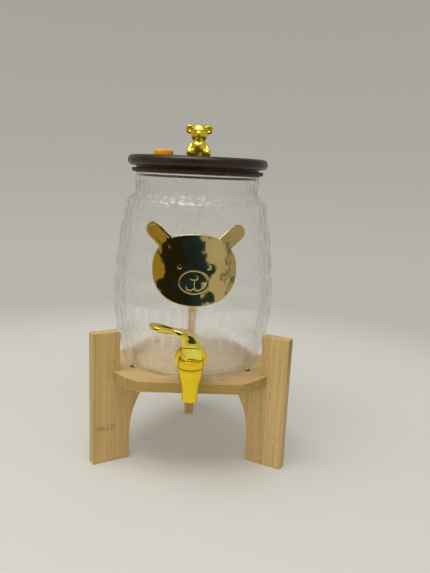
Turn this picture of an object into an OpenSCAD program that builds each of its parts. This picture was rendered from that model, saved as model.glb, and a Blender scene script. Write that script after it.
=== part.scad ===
// Glass drink dispenser with a lever tap, standing on a three-leg bamboo stand.
// Millimetres. The origin is on the floor below the jar's axis. The tap points to -Y and +Z is up.

/* [Stand] */
// Height of the upper face of the shelf above the floor
shelf_h = 93; // [80:1:110]
// Thickness of the shelf board
shelf_t = 10; // [8:0.5:14]
// From the axis to each of the shelf's three straight edges
shelf_flat = 74; // [72:0.5:80]
// Height of the legs
leg_h = 132; // [120:1:145]
// Thickness of the leg boards
leg_t = 10; // [8:0.5:14]
// Width of an upright above the shelf, at its top
upright_w = 28; // [22:0.5:36]
// How far a leg's outer edge leans in towards the floor
leg_lean = 1; // [0:0.5:6]
// Width of a leg at the floor
foot_w = 38; // [30:0.5:44]
// Height of the straight stretch of a leg's inner edge, above the floor
foot_straight = 28; // [10:1:45]
// Length of the ledge that carries the shelf, inwards from the upright
ledge_len = 32; // [26:1:40]
// Blunt height of the ledge's inner end
ledge_nose = 4; // [2:0.5:8]
// Depth of the slots in the shelf's edge that take the uprights
slot_depth = 7; // [4:0.5:10]
// From the upright's inner edge inwards to the screw
screw_in = 17; // [12:0.5:22]
// Length of the screws
screw_len = 25; // [20:1:30]
// Diameter of the screws' shanks
screw_d = 4; // [3:0.1:5]
// Diameter of the countersunk screw heads
screw_head_d = 8.4; // [7:0.1:10]

/* [Glass jar] */
// Height of the jar from its foot to its rim
jar_h = 189; // [182:1:205]
// Greatest radius of the body
belly_r = 79.8; // [77:0.2:84]
// Height of the greatest radius above the jar's foot
belly_h = 66; // [58:1:76]
// Radius at the top of the barrel body
shoulder_r = 68.9; // [66:0.1:72]
// Height of the top of the barrel body above the jar's foot
shoulder_h = 161; // [155:1:165]
// Outer radius of the neck
neck_r = 61; // [59:0.2:63]
// Height of the neck's straight stretch
neck_h = 17.4; // [12:0.2:20]
// Radius just above the rounded heel
heel_r = 70.2; // [67:0.1:73]
// Height of the rounded heel
heel_h = 7; // [5:0.5:10]
// Radius of the flat ring that the jar stands on
jar_foot_r = 61.5; // [58:0.5:64]
// Hollow under the base, inside that ring
punt_h = 1.5; // [0.5:0.1:2.5]
// Thickness of the wall
glass_t = 3; // [2.6:0.1:4.5]
// Thickness of the base
base_t = 5; // [4:0.5:9]
// Height of the first tier line above the jar's foot
tier_start = 16; // [12:0.5:24]
// Height of each tier of pressed facets
tier_h = 25.6; // [20:0.2:32]
// How deep the tier lines lie below the tiers
tier_depth = 0.5; // [0.2:0.1:0.8]
// Gap between the belly and the uprights
jar_play = 1.2; // [0.8:0.1:3]

/* [Plaque] */
// Width of the head
plaque_w = 75; // [60:1:84]
// Height of the head
plaque_h = 63; // [50:1:66]
// Height of the head's lower edge above the jar's foot
plaque_up = 74.5; // [68:0.5:78]
// Radius of each ear's round end
plaque_ear_r = 7.1; // [5:0.1:9]
// How far that end lies to the side of the head's middle
plaque_ear_out = 37; // [28:0.2:38]
// How far it lies above the head's middle
plaque_ear_up = 33.6; // [26:0.2:36]
// Thickness of the plate
plaque_t = 1; // [0.8:0.1:1.6]
// Thickness of the tape behind it
tape_t = 0.8; // [0.5:0.1:1.2]
// Width of the tape pad
tape_w = 42; // [30:1:50]
// Height of the tape pad
tape_h = 26; // [18:1:34]

/* [Tap] */
// Height of the shank's axis above the jar's foot
tap_h = 26; // [24:0.5:32]
// Radius of the threaded shank
shank_r = 7.8; // [6.5:0.1:8.5]
// Radius of the passage through the shank
shank_bore_r = 4.4; // [3.6:0.1:5]
// Radius of the flange
flange_r = 14.5; // [13:0.5:17]
// Thickness of the flange
flange_t = 3.2; // [2.4:0.1:4]
// Thickness of the outer washer at its middle
outer_washer_t = 3; // [2:0.1:4]
// Thickness of the inner washer at its middle
inner_washer_t = 3.5; // [2.5:0.1:4]
// Width of the nut across its flats
nut_af = 22.5; // [21:0.5:24]
// Thickness of the nut
nut_t = 6; // [4:0.5:8]
// How far the shank stands out of the nut
shank_proud = 3.5; // [1:0.5:6]
// Length of the neck between flange and housing
tap_neck_len = 3; // [2.4:0.1:5]
// Radius of that neck
tap_neck_r = 4.6; // [4.2:0.1:4.8]
// Radius of the inlet from the neck into the housing
inlet_r = 2.8; // [2:0.1:3]
// Outer radius of the valve housing
housing_r = 11.6; // [11:0.1:13]
// How far the housing stands above the shank's axis
housing_up = 5; // [4.8:0.1:6]
// How far the housing's outside reaches below the shank's axis
housing_down = 2; // [1.6:0.1:3]
// Radius of the raised seat for the lever's foot
cam_seat_r = 9; // [8.4:0.1:10]
// Height of that seat
cam_seat_t = 1.4; // [1.2:0.1:2]
// Thickness of the housing's top below the seat
housing_top_t = 2; // [1.8:0.1:2.2]
// Radius of the chamber in the housing and spout
chamber_r = 7; // [6.6:0.1:7.2]
// Outer radius of the spigot that the spout is pushed on to
spigot_r = 8.6; // [8.2:0.1:9]
// Length of the spigot
spigot_len = 5; // [4:0.1:5.4]
// Length of the spout
spout_len = 31.5; // [27:0.5:34]
// Outer radius of the spout's lower end
spout_r = 7.3; // [6.6:0.1:8]
// Radius of the outlet
outlet_r = 5.4; // [4.6:0.1:5.6]
// Depth of the chamber in the spout, below the spigot
seat_drop = 5; // [4.6:0.1:5.6]
// Thickness of the valve seat
seat_t = 2.5; // [2:0.1:3]
// Radius of the hole in the valve seat
seat_hole_r = 4; // [3.4:0.1:4.4]

/* [Tap valve] */
// Radius of the stopper
stopper_r = 5.8; // [5.2:0.1:6.2]
// Height of the stopper above the seat
stopper_h = 5.2; // [4.8:0.1:5.6]
// Radius of the stem
stem_r = 3; // [2.6:0.1:3.1]
// Radius of the stem's peg in the stopper
stem_peg_r = 2; // [1.6:0.1:2.3]
// Radius of the collar under the spring
stem_collar_r = 4.9; // [4.6:0.1:5.4]
// Thickness of that collar
stem_collar_t = 1.2; // [0.8:0.1:1.6]
// Thickness of the stem seal's ring
seal_wire = 1.2; // [1:0.1:1.4]
// Radius of the middle of the spring's wire
spring_r = 4.3; // [4:0.1:4.5]
// Thickness of the spring's wire
spring_wire = 0.7; // [0.5:0.1:0.8]
// Number of turns of the spring
spring_turns = 5; // [4:1:6]
// Radius of the lever pin
pin_r = 1; // [0.8:0.1:1.3]
// Length of the lever pin
pin_len = 11.5; // [10:0.5:12]

/* [Tap lever] */
// Height of the pin above the lever's foot
pin_h = 5; // [4.6:0.1:6]
// From the axis to the foot's side under the thumb end
foot_near = 8.5; // [8:0.1:9.5]
// From the axis to the foot's other side
foot_far = 9.7; // [9:0.1:11]
// Rounding of the foot's rolling corner
foot_round = 3; // [2:0.1:4]
// Height of the square side of the foot
foot_side_h = 8; // [6:0.5:10]
// Radius of the bend over the foot
bend_r = 19.5; // [18:0.5:22]
// Slope of the thumb arm, in degrees
arm_rise = 10.6; // [6:0.2:14]
// Thickness of the thumb arm
arm_t = 3.4; // [2.8:0.1:4.4]
// From the axis to the thumb end
lever_len = 37; // [33:0.5:42]
// Width of the foot
lever_w = 14; // [13:0.5:16]
// Width of the thumb end
thumb_w = 16; // [14:0.5:18]
// Depth of the thumb dish
dish_depth = 1.1; // [0.6:0.1:1.6]
// Height of the groove along the foot's sides, above the foot's underside
groove_up = 9.6; // [8.6:0.1:10.6]

/* [Lid] */
// Radius of the lid
lid_r = 68; // [66:0.5:73]
// Thickness of the lid's disc
lid_t = 10; // [8:0.5:12]
// Radius of the step under the disc
step_r = 60; // [58.5:0.5:62]
// Height of the step, which shows as a groove
step_h = 2; // [1.4:0.1:4]
// Radius of the plug
plug_r = 53.5; // [51:0.5:54]
// How far the plug reaches below the glass rim
plug_drop = 4; // [3.6:0.2:8]
// Radius of the seal's flange on the rim
seal_flange_r = 64; // [63:0.2:66]
// Thickness of the seal's flange
seal_flange_t = 3.8; // [2.5:0.1:4.4]
// Gap between the seal's lip and the neck
lip_gap = 0.4; // [0.3:0.05:0.8]
// Distance of the vent hole from the lid's axis
vent_out = 41; // [36:0.5:43]
// Direction of the vent hole, in degrees round from +X
vent_turn = 217.6; // [200:0.2:230]
// Radius of the vent plug's cap
vent_cap_r = 8.9; // [7:0.1:9.5]
// Height of the vent plug's cap
vent_cap_h = 5.5; // [5:0.5:9]
// Radius of the vent plug's stem
vent_stem_r = 3.9; // [3:0.1:4.4]
// Length of the vent plug's stem
vent_stem_len = 13; // [10:0.5:16]

/* [Knob] */
// Height of the bear above the lid
bear_h = 31.4; // [30:0.2:33]
// Radius of the bear's head
head_r = 8.5; // [8.2:0.1:9.2]
// How much taller the head is than it is wide
head_tall = 1; // [0.6:0.2:3]
// Radius of the bear's ears
ear_r = 4.4; // [4:0.1:5]
// Radius of the bear's body
torso_r = 8.4; // [8:0.1:9]
// Radius of the knob screw
knob_screw_r = 2; // [1.6:0.1:2.4]
// Length of the knob screw in the knob
knob_screw_grip = 10; // [8:0.5:11]
// Thickness of the lid above the knob washer
lid_web = 11; // [9.5:0.5:13]
// Radius of the knob washer
knob_washer_r = 5; // [4.5:0.1:5.6]
// Thickness of the knob washer
knob_washer_t = 1; // [0.6:0.1:1.4]

/* [Clearances] */
// Gap beside pieces that are pushed or screwed into each other
fit = 0.15; // [0.05:0.05:0.2]
// Gap between soft pieces and the glass
soft_gap = 0.05; // [0.02:0.01:0.1]
// Gap beside pieces that slide or turn
run_gap = 0.2; // [0.1:0.05:0.3]
// Gap under the lever's foot and under the stopper at rest
rest_gap = 0.1; // [0.05:0.05:0.2]

/* [Hidden] */
$fn = 96;
over = 1;
LEG_TURNS = [210, 330, 90];

// Levels and radii of the stand
shelf_under = shelf_h - shelf_t;
upright_in = belly_r + jar_play;
leg_out = upright_in + upright_w;
shelf_r = upright_in + slot_depth;
foot_out = leg_out - leg_lean;
foot_in = foot_out - foot_w;
ledge_in = upright_in - ledge_len;
screw_at = upright_in - screw_in;
arch_w = foot_in - ledge_in;
arch_top = shelf_under - ledge_nose;
arch_h = arch_top - foot_straight;
arch_r = (arch_w * arch_w + arch_h * arch_h) / (2 * arch_w);
arch_turn = asin(arch_h / arch_r);
screw_head_h = (screw_head_d - screw_d) / 2;

// Levels and radii of the jar
jar_z = shelf_h;
rim_z = jar_z + jar_h;
belly_z = jar_z + belly_h;
shoulder_z = jar_z + shoulder_h;
neck_z = rim_z - neck_h;
heel_z = jar_z + heel_h;
neck_in = neck_r - glass_t;
lip_round = glass_t / 2;

function sagitta_radius(reach, drop) = (reach * reach + drop * drop) / (2 * drop);
upper_r = sagitta_radius(shoulder_z - belly_z, belly_r - shoulder_r);
lower_r = sagitta_radius(belly_z - heel_z, belly_r - heel_r);

// Radius of the smooth barrel at height z: two arcs that share their tangent at the belly
function arc_fall(r, d) = r - sqrt(r * r - d * d);
function barrel(z) = belly_r - arc_fall(z > belly_z ? upper_r : lower_r, z - belly_z);
function tier_share(z) = (z - jar_z - tier_start) / tier_h;
// Each tier is a shallow pillow: 0 at its middle and 1 at the tier lines
function tier_dip(z) = pow(2 * (tier_share(z) - floor(tier_share(z))) - 1, 2);
function body_r(z) = barrel(z) - tier_depth * tier_dip(z);
// Radius between shoulder and neck: half a cosine wave
function shoulder_blend(u) = (1 + cos(180 * u)) / 2;
function throat_r(u) = neck_r + (barrel(shoulder_z) - neck_r) * shoulder_blend(u);
function throat_z(u) = shoulder_z + (neck_z - shoulder_z) * u;

// Plaque: a cone that touches the tape's outer face at the plate's middle height
plaque_z = jar_z + plaque_up;
plaque_mid = plaque_z + plaque_h / 2;
plaque_top = plaque_mid + plaque_h;
plaque_low = plaque_mid - plaque_h;
plaque_slope = (barrel(plaque_mid + 1) - barrel(plaque_mid - 1)) / 2;
plaque_power = 2.3;
function plaque_cone(z) = barrel(plaque_mid) + tape_t + plaque_slope * (z - plaque_mid);

// Levels of the tap
tap_z = jar_z + tap_h;
glass_out = barrel(tap_z);
glass_slope = (barrel(tap_z + 1) - barrel(tap_z - 1)) / 2;
flange_y = -(glass_out + outer_washer_t);
tap_y = flange_y - flange_t - tap_neck_len - housing_r;
washer_in_y = -(glass_out - glass_t - inner_washer_t);
nut_in_y = washer_in_y + nut_t;
shank_end_y = nut_in_y + shank_proud;
hole_r = shank_r + fit;
seam_z = tap_z - housing_down;
housing_top = tap_z + housing_up;
cam_z = housing_top + cam_seat_t;
chamber_top = housing_top - housing_top_t;
spigot_z = seam_z - spigot_len;
seat_z = spigot_z - seat_drop;
spout_z = seam_z - spout_len;
seam_gap = 0.3;
taper_top = seam_z - spout_len * 0.09;
taper_low = seam_z - spout_len * 0.79;
rim_chamfer = 0.6;
stem_hole_r = stem_r + run_gap;
seal_mid_z = (chamber_top + cam_z) / 2;
seal_groove_r = stem_r + seal_wire + 2 * soft_gap;

// Levels of the valve
stopper_z = seat_z + rest_gap;
stopper_top = stopper_z + stopper_h;
peg_len = 3;
collar_z = stopper_top + soft_gap;
spring_low = collar_z + stem_collar_t;
foot_z = cam_z + rest_gap;
pin_z = foot_z + pin_h;
stem_head = 2.8;
stem_top = pin_z + stem_head;

// Lever: the bend starts at this angle above the axis of its circle
bend_start = 12;
bend_end = 90 - arm_rise;
bend_x = foot_far - bend_r * cos(bend_start);
bend_z = foot_side_h - bend_r * sin(bend_start);
arm_start = [bend_x + bend_r * cos(bend_end), bend_z + bend_r * sin(bend_end)];
function arm_top(x) = arm_start[1] + (arm_start[0] - x) * tan(arm_rise);
arm_drop = arm_t / cos(arm_rise);
inner_round = 5;
dish_wide = 18;
dish_long = 96;
dish_x = -lever_len * 0.62;

// Levels of the lid
seal_top = rim_z + seal_flange_t;
step_z = seal_top;
disc_z = step_z + step_h;
lid_top = disc_z + lid_t;
plug_z = rim_z - plug_drop;
seal_lip_r = neck_in - lip_gap;
seal_in_r = plug_r + fit;
vent_x = vent_out * cos(vent_turn);
vent_y = vent_out * sin(vent_turn);
web_z = lid_top - lid_web;
knob_washer_z = web_z - knob_washer_t;
knob_head_h = 2.8;
knob_head_r = 3.8;

// Bear: places of its limbs above the lid
bear_z = lid_top;
head_z = bear_z + bear_h - head_r;
sit = 0.5;
torso_z = bear_z + torso_r + sit;

BAMBOO = [0.80, 0.65, 0.42];
STEEL = [0.45, 0.44, 0.42];
CLEAR = [0.78, 0.88, 0.90, 0.45];
GOLD = [0.90, 0.72, 0.20];
SILICONE = [0.88, 0.88, 0.86];
BROWN = [0.20, 0.13, 0.11];
DARK_SEAL = [0.16, 0.11, 0.10];
ORANGE = [0.93, 0.52, 0.06];

// Points on an arc round a middle, both ends included
function arc_points(middle, r, from, to, steps) = [
    for (i = [0:steps])
        let (a = from + (to - from) * i / steps)
            [middle[0] + r * cos(a), middle[1] + r * sin(a)]
];

module at_tap() {
    translate([0, tap_y, 0]) children();
}

// Cylinder along Y between two places, at the height of the shank
module along_shank(r, y0, y1) {
    translate([0, max(y0, y1), tap_z]) rotate([90, 0, 0]) cylinder(r = r, h = abs(y1 - y0));
}

// Stand

module leg_outline() {
    polygon(concat(
        [[foot_out, 0], [leg_out, leg_h], [upright_in, leg_h]],
        [[upright_in, shelf_under], [ledge_in, shelf_under]],
        arc_points([foot_in - arch_r, foot_straight], arch_r, arch_turn, 0, 16),
        [[foot_in, 0]]
    ));
}

module leg(turn) {
    color(BAMBOO) difference() {
        rotate([0, 0, turn]) rotate([90, 0, 0])
            linear_extrude(height = leg_t, center = true) leg_outline();
        rotate([0, 0, turn]) translate([screw_at, 0, shelf_h - screw_len - over])
            cylinder(d = screw_d + fit, h = screw_len);
    }
}

module shelf_outline() {
    intersection() {
        circle(r = shelf_r, $fn = 180);
        circle(r = shelf_flat * 2, $fn = 3);
    }
}

module shelf_board() {
    slot_in = upright_in - fit;
    color(BAMBOO) difference() {
        translate([0, 0, shelf_under]) linear_extrude(height = shelf_t)
            rotate([0, 0, LEG_TURNS[2]]) shelf_outline();
        for (turn = LEG_TURNS) rotate([0, 0, turn]) {
            translate([slot_in, -leg_t / 2 - fit, shelf_under - over])
                cube([slot_depth + 2 * over, leg_t + 2 * fit, shelf_t + 2 * over]);
            translate([screw_at, 0, shelf_under - over])
                cylinder(d = screw_d + 2 * fit, h = shelf_t + 2 * over);
            translate([screw_at, 0, shelf_h - screw_head_h])
                cylinder(d1 = screw_d + 2 * fit, d2 = screw_head_d + 2 * fit, h = screw_head_h);
        }
    }
}

module leg_left() {
    leg(LEG_TURNS[0]);
}

module leg_right() {
    leg(LEG_TURNS[1]);
}

module leg_rear() {
    leg(LEG_TURNS[2]);
}

module stand_screw() {
    recess_d = screw_head_d * 0.3;
    recess_h = screw_head_h * 0.5;
    difference() {
        union() {
            translate([0, 0, -screw_len]) cylinder(d = screw_d, h = screw_len);
            translate([0, 0, -screw_head_h])
                cylinder(d1 = screw_d, d2 = screw_head_d, h = screw_head_h);
        }
        for (a = [0, 90]) rotate([0, 0, a])
            translate([-recess_d, -recess_d / 6, -recess_h])
                cube([2 * recess_d, recess_d / 3, recess_h + over]);
    }
}

module stand_screws() {
    color(STEEL) for (turn = LEG_TURNS)
        rotate([0, 0, turn]) translate([screw_at, 0, shelf_h]) stand_screw();
}

// Jar

module jar_profile() {
    heel_steps = 8;
    body_steps = 42;
    throat_steps = 8;
    heel = [
        for (i = [0:heel_steps])
            let (a = 90 * i / heel_steps)
                [jar_foot_r + (body_r(heel_z) - jar_foot_r) * sin(a), heel_z - heel_h * cos(a)]
    ];
    body = [
        for (i = [1:body_steps])
            let (z = heel_z + (shoulder_z - heel_z) * i / body_steps)
                [body_r(z), z]
    ];
    throat = [for (i = [1:throat_steps]) [throat_r(i / throat_steps), throat_z(i / throat_steps)]];
    lip = arc_points([neck_r - lip_round, rim_z - lip_round], lip_round, 0, 180, 8);
    throat_in = [for (p = throat) [p[0] - glass_t, p[1]]];
    inside = [
        for (i = [0:body_steps / 2])
            let (z = shoulder_z - (shoulder_z - heel_z) * 2 * i / body_steps)
                [barrel(z) - glass_t, z]
    ];
    heel_in = [
        for (i = [heel_steps - 1:-1:0])
            let (a = 90 * i / heel_steps)
                [
                    jar_foot_r + (barrel(heel_z) - glass_t - jar_foot_r) * sin(a),
                    heel_z - (heel_h - glass_t) * cos(a),
                ]
    ];
    floor_z = jar_z + base_t;
    punt_r = jar_foot_r - 2 * glass_t;
    polygon(concat(
        [[0, jar_z + punt_h], [punt_r - punt_h, jar_z + punt_h], [punt_r, jar_z]],
        heel, body, throat, lip,
        [for (i = [throat_steps - 1:-1:0]) throat_in[i]],
        inside, heel_in,
        [[punt_r - punt_h, floor_z], [0, floor_z]]
    ));
}

module glass_jar() {
    color(CLEAR) difference() {
        rotate_extrude($fn = 180) jar_profile();
        along_shank(hole_r, flange_y, washer_in_y + over);
    }
}

// Solid barrel between two heights, moved outwards by a gap
module barrel_core(z0, z1, grow) {
    steps = 12;
    rotate_extrude($fn = 180) polygon(concat(
        [[0, z0]],
        [
            for (i = [0:steps])
                let (z = z0 + (z1 - z0) * i / steps)
                    [barrel(z) + grow, z]
        ],
        [[0, z1]]
    ));
}

// Plaque: a plain bear head, a wide rounded oval with two round-ended ears

function oval_axis(value) = sign(value) * pow(abs(value), 2 / plaque_power);

// Ear that points along X from the head's middle
module ear_outline() {
    reach = norm([plaque_ear_out, plaque_ear_up]);
    polygon(concat(
        arc_points([reach, 0], plaque_ear_r, -90, 90, 16),
        [[0, plaque_ear_r], [0, -plaque_ear_r]]
    ));
}

module head_outline() {
    points = 72;
    polygon([
        for (i = [0:points - 1])
            let (a = 360 * i / points)
                [plaque_w / 2 * oval_axis(cos(a)), plaque_mid + plaque_h / 2 * oval_axis(sin(a))]
    ]);
    for (side = [-1, 1])
        translate([0, plaque_mid]) rotate(atan2(plaque_ear_up, side * plaque_ear_out)) ear_outline();
}

module tape_outline() {
    translate([-tape_w / 2, plaque_mid - tape_h / 2]) square([tape_w, tape_h]);
}

// Bent sheet in front of the jar between two offsets from the plaque's cone
module bent_sheet(inner, outer) {
    difference() {
        translate([0, 0, plaque_low]) cylinder(
            r1 = plaque_cone(plaque_low) + outer, r2 = plaque_cone(plaque_top) + outer,
            h = plaque_top - plaque_low, $fn = 180
        );
        translate([0, 0, plaque_low - over]) cylinder(
            r1 = plaque_cone(plaque_low - over) + inner, r2 = plaque_cone(plaque_top + over) + inner,
            h = plaque_top - plaque_low + 2 * over, $fn = 180
        );
    }
}

module front_plaque() {
    color(GOLD) intersection() {
        bent_sheet(0, plaque_t);
        rotate([90, 0, 0]) linear_extrude(height = 2 * belly_r) head_outline();
    }
}

module plaque_tape() {
    color(SILICONE) difference() {
        intersection() {
            translate([0, 0, plaque_low]) cylinder(
                r1 = plaque_cone(plaque_low) - soft_gap, r2 = plaque_cone(plaque_top) - soft_gap,
                h = plaque_top - plaque_low, $fn = 180
            );
            rotate([90, 0, 0]) linear_extrude(height = 2 * belly_r) tape_outline();
        }
        barrel_core(plaque_mid - tape_h, plaque_mid + tape_h, soft_gap);
    }
}

// Tap: what is clamped on the glass

// Cone that follows the barrel's slope at the tap, moved outwards by a gap
module glass_cone(grow) {
    reach = 2 * flange_r;
    translate([0, 0, tap_z - reach]) cylinder(
        r1 = glass_out + grow - glass_slope * reach, r2 = glass_out + grow + glass_slope * reach,
        h = 2 * reach, $fn = 180
    );
}

module outer_washer() {
    washer_r = flange_r - over;
    color(SILICONE) difference() {
        along_shank(washer_r, flange_y, flange_y + 2 * outer_washer_t);
        glass_cone(soft_gap);
        along_shank(hole_r, flange_y - over, 0);
    }
}

module inner_washer() {
    washer_r = nut_af / 2;
    bow = arc_fall(lower_r, washer_r);
    color(SILICONE) difference() {
        intersection() {
            along_shank(washer_r, -glass_out, washer_in_y);
            glass_cone(-glass_t - soft_gap - bow);
        }
        along_shank(hole_r, -glass_out - over, 0);
    }
}

module shank_nut() {
    nut_r = nut_af / 2 / cos(30);
    color(SILICONE) difference() {
        intersection() {
            translate([0, nut_in_y, tap_z]) rotate([90, 0, 0]) cylinder(r = nut_r, h = nut_t, $fn = 6);
            translate([0, nut_in_y, tap_z]) rotate([90, 0, 0])
                cylinder(r1 = nut_r - over, r2 = nut_r + nut_t - over, h = nut_t);
        }
        along_shank(shank_r + fit, washer_in_y - over, nut_in_y + over);
    }
}

module housing_profile() {
    edge = 1.2;
    polygon(concat(
        [[0, spigot_z], [spigot_r, spigot_z], [spigot_r, seam_z]],
        [[housing_r - rim_chamfer, seam_z], [housing_r, seam_z + rim_chamfer]],
        arc_points([housing_r - edge, housing_top - edge], edge, 0, 90, 6),
        [[cam_seat_r, housing_top], [cam_seat_r, cam_z], [0, cam_z]]
    ));
}

module tap_body() {
    flange_edge = 1;
    neck_in_y = flange_y - flange_t;
    color(GOLD) difference() {
        union() {
            at_tap() rotate_extrude() housing_profile();
            along_shank(tap_neck_r, neck_in_y, tap_y);
            along_shank(flange_r, flange_y, neck_in_y + flange_edge);
            translate([0, neck_in_y + flange_edge, tap_z]) rotate([90, 0, 0])
                cylinder(r1 = flange_r, r2 = flange_r - flange_edge, h = flange_edge);
            along_shank(shank_r, flange_y, shank_end_y);
        }
        along_shank(shank_bore_r, neck_in_y + flange_t / 2, shank_end_y + over);
        along_shank(inlet_r, neck_in_y + flange_t, tap_y);
        at_tap() {
            translate([0, 0, spigot_z - over]) cylinder(r = chamber_r, h = chamber_top - spigot_z + over);
            translate([0, 0, chamber_top - over]) cylinder(r = stem_hole_r, h = cam_z - chamber_top + 2 * over);
            translate([0, 0, seal_mid_z - seal_wire / 2 - soft_gap])
                cylinder(r = seal_groove_r, h = seal_wire + 2 * soft_gap);
        }
    }
}

module stem_seal() {
    color(DARK_SEAL) at_tap() translate([0, 0, seal_mid_z]) rotate_extrude()
        translate([stem_r + soft_gap + seal_wire / 2, 0]) circle(d = seal_wire, $fn = 32);
}

// Spout: the outside narrows along half a cosine wave
module spout_profile() {
    top_r = housing_r - over / 4;
    top_z = seam_z - seam_gap;
    taper_steps = 14;
    edge = 1.2;
    socket_r = spigot_r + fit;
    taper = [
        for (i = [0:taper_steps])
            let (u = i / taper_steps)
                [
                    spout_r + (top_r - spout_r) * shoulder_blend(u),
                    taper_top + (taper_low - taper_top) * u
                ]
    ];
    polygon(concat(
        [[socket_r, top_z], [top_r - rim_chamfer, top_z], [top_r, top_z - rim_chamfer]],
        taper,
        arc_points([spout_r - edge, spout_z + edge], edge, 0, -90, 6),
        [[outlet_r, spout_z], [outlet_r, seat_z - seat_t], [seat_hole_r, seat_z - seat_t]],
        [[seat_hole_r, seat_z], [chamber_r, seat_z], [chamber_r, spigot_z - seam_gap]],
        [[socket_r, spigot_z - seam_gap]]
    ));
}

module tap_spout() {
    color(GOLD) difference() {
        at_tap() rotate_extrude() spout_profile();
        along_shank(tap_neck_r + seam_gap, flange_y, tap_y);
    }
}

// Tap: the valve

module tap_stopper() {
    nose_h = seat_t * 0.6;
    color(SILICONE) at_tap() difference() {
        union() {
            translate([0, 0, stopper_z - nose_h])
                cylinder(r1 = seat_hole_r * 0.55, r2 = seat_hole_r * 0.85, h = nose_h);
            translate([0, 0, stopper_z]) cylinder(r = stopper_r, h = stopper_h / 2);
            translate([0, 0, stopper_z + stopper_h / 2])
                cylinder(r1 = stopper_r, r2 = stem_collar_r - run_gap, h = stopper_h / 2);
        }
        translate([0, 0, stopper_top - peg_len - run_gap]) cylinder(r = stem_peg_r + run_gap, h = peg_len + over);
    }
}

module tap_stem() {
    color(STEEL) at_tap() difference() {
        union() {
            translate([0, 0, stopper_top - peg_len]) cylinder(r = stem_peg_r, h = peg_len + over);
            translate([0, 0, collar_z]) cylinder(r = stem_collar_r, h = stem_collar_t);
            translate([0, 0, collar_z]) cylinder(r = stem_r, h = stem_top - collar_z);
        }
        translate([0, stem_r + over, pin_z]) rotate([90, 0, 0])
            cylinder(r = pin_r + fit / 2, h = 2 * stem_r + 2 * over);
    }
}

// Coil spring: a tube of six sides along a helix, one wire thickness clear of its seats
module tap_spring() {
    sides = 6;
    steps = 10 * spring_turns;
    low = spring_low + spring_wire / 2 + soft_gap;
    high = chamber_top - spring_wire / 2 - soft_gap;
    rings = [
        for (i = [0:steps])
            let (turn = 360 * spring_turns * i / steps, z = low + (high - low) * i / steps)
                for (k = [0:sides - 1])
                    let (
                        a = 360 * k / sides,
                        r = spring_r + spring_wire / 2 * cos(a)
                    )
                        [r * cos(turn), r * sin(turn), z + spring_wire / 2 * sin(a)]
    ];
    walls = [
        for (i = [0:steps - 1], k = [0:sides - 1])
            let (a = i * sides + k, b = i * sides + (k + 1) % sides)
                for (face = [[a, a + sides, b + sides], [a, b + sides, b]]) face
    ];
    first = [for (k = [1:sides - 2]) [0, k, k + 1]];
    last = [for (k = [1:sides - 2]) [steps * sides, steps * sides + k + 1, steps * sides + k]];
    color(STEEL) at_tap() polyhedron(points = rings, faces = concat(walls, first, last));
}

module lever_pin() {
    color(STEEL) at_tap() translate([0, pin_len / 2, pin_z]) rotate([90, 0, 0])
        cylinder(r = pin_r, h = pin_len, $fn = 32);
}

// Tap: the lever, as the side view of its foot and arm cut to the plan view of its thumb end

module lever_side() {
    under = function (x) arm_top(x) - arm_drop;
    neck_top = under(-foot_near - inner_round);
    polygon(concat(
        [[foot_far, 0], [foot_far, foot_side_h]],
        arc_points([bend_x, bend_z], bend_r, bend_start, bend_end, 12),
        [[-lever_len, arm_top(-lever_len)], [-lever_len, under(-lever_len)]],
        arc_points([-foot_near - inner_round, neck_top - inner_round], inner_round, 90, 0, 6),
        arc_points([-foot_near + foot_round, foot_round], foot_round, 180, 270, 8)
    ));
}

module lever_plan() {
    thumb_r = thumb_w / 2;
    thumb_x = -lever_len + thumb_r;
    half = lever_w / 2;
    polygon([
        [foot_far + over, -half], [foot_far + over, half], [-foot_near, half],
        [thumb_x, thumb_r], [thumb_x, -thumb_r], [-foot_near, -half],
    ]);
    translate([thumb_x, 0]) circle(r = thumb_r);
}

module thumb_dish() {
    lift = dish_long - dish_depth;
    translate([dish_x, 0, arm_top(dish_x)]) rotate([0, arm_rise, 0]) translate([0, 0, lift])
        rotate([90, 0, 0]) rotate_extrude($fn = 180) translate([dish_long - dish_wide, 0]) circle(r = dish_wide);
}

module tap_lever() {
    slot_w = 2 * (stem_r + run_gap);
    slot_wall = 2.4;
    slot_room = 2;
    slot_near = foot_near - slot_wall;
    slot_far = stem_r + slot_room;
    slot_h = pin_h + norm([stem_r, stem_head]) + 2 * run_gap;
    groove_h = 0.9;
    groove_deep = 0.6;
    color(GOLD) translate([0, tap_y, foot_z]) difference() {
        intersection() {
            rotate([90, 0, 0]) linear_extrude(height = 2 * thumb_w, center = true) lever_side();
            translate([0, 0, -over]) linear_extrude(height = 2 * lever_len) lever_plan();
        }
        thumb_dish();
        translate([-slot_near, -slot_w / 2, -over]) cube([slot_near + slot_far, slot_w, slot_h + over]);
        translate([0, lever_w / 2 + over, pin_h]) rotate([90, 0, 0])
            cylinder(r = pin_r + fit / 2, h = lever_w / 2 + pin_len / 2 + over + fit);
        for (side = [-1, 1])
            translate([-foot_near - over, side * lever_w / 2 - groove_deep, groove_up])
                cube([foot_near + foot_far * 0.7 + over, 2 * groove_deep, groove_h]);
    }
}

// Lid

module lid_profile() {
    edge = lid_t / 2 - run_gap;
    polygon(concat(
        [[0, plug_z], [plug_r - over / 2, plug_z], [plug_r, plug_z + over / 2]],
        [[plug_r, step_z], [step_r, step_z], [step_r, disc_z]],
        arc_points([lid_r - edge, disc_z + edge], edge, -90, 0, 8),
        arc_points([lid_r - edge, lid_top - edge], edge, 0, 90, 8),
        [[0, lid_top]]
    ));
}

module at_vent() {
    translate([vent_x, vent_y, 0]) children();
}

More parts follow.
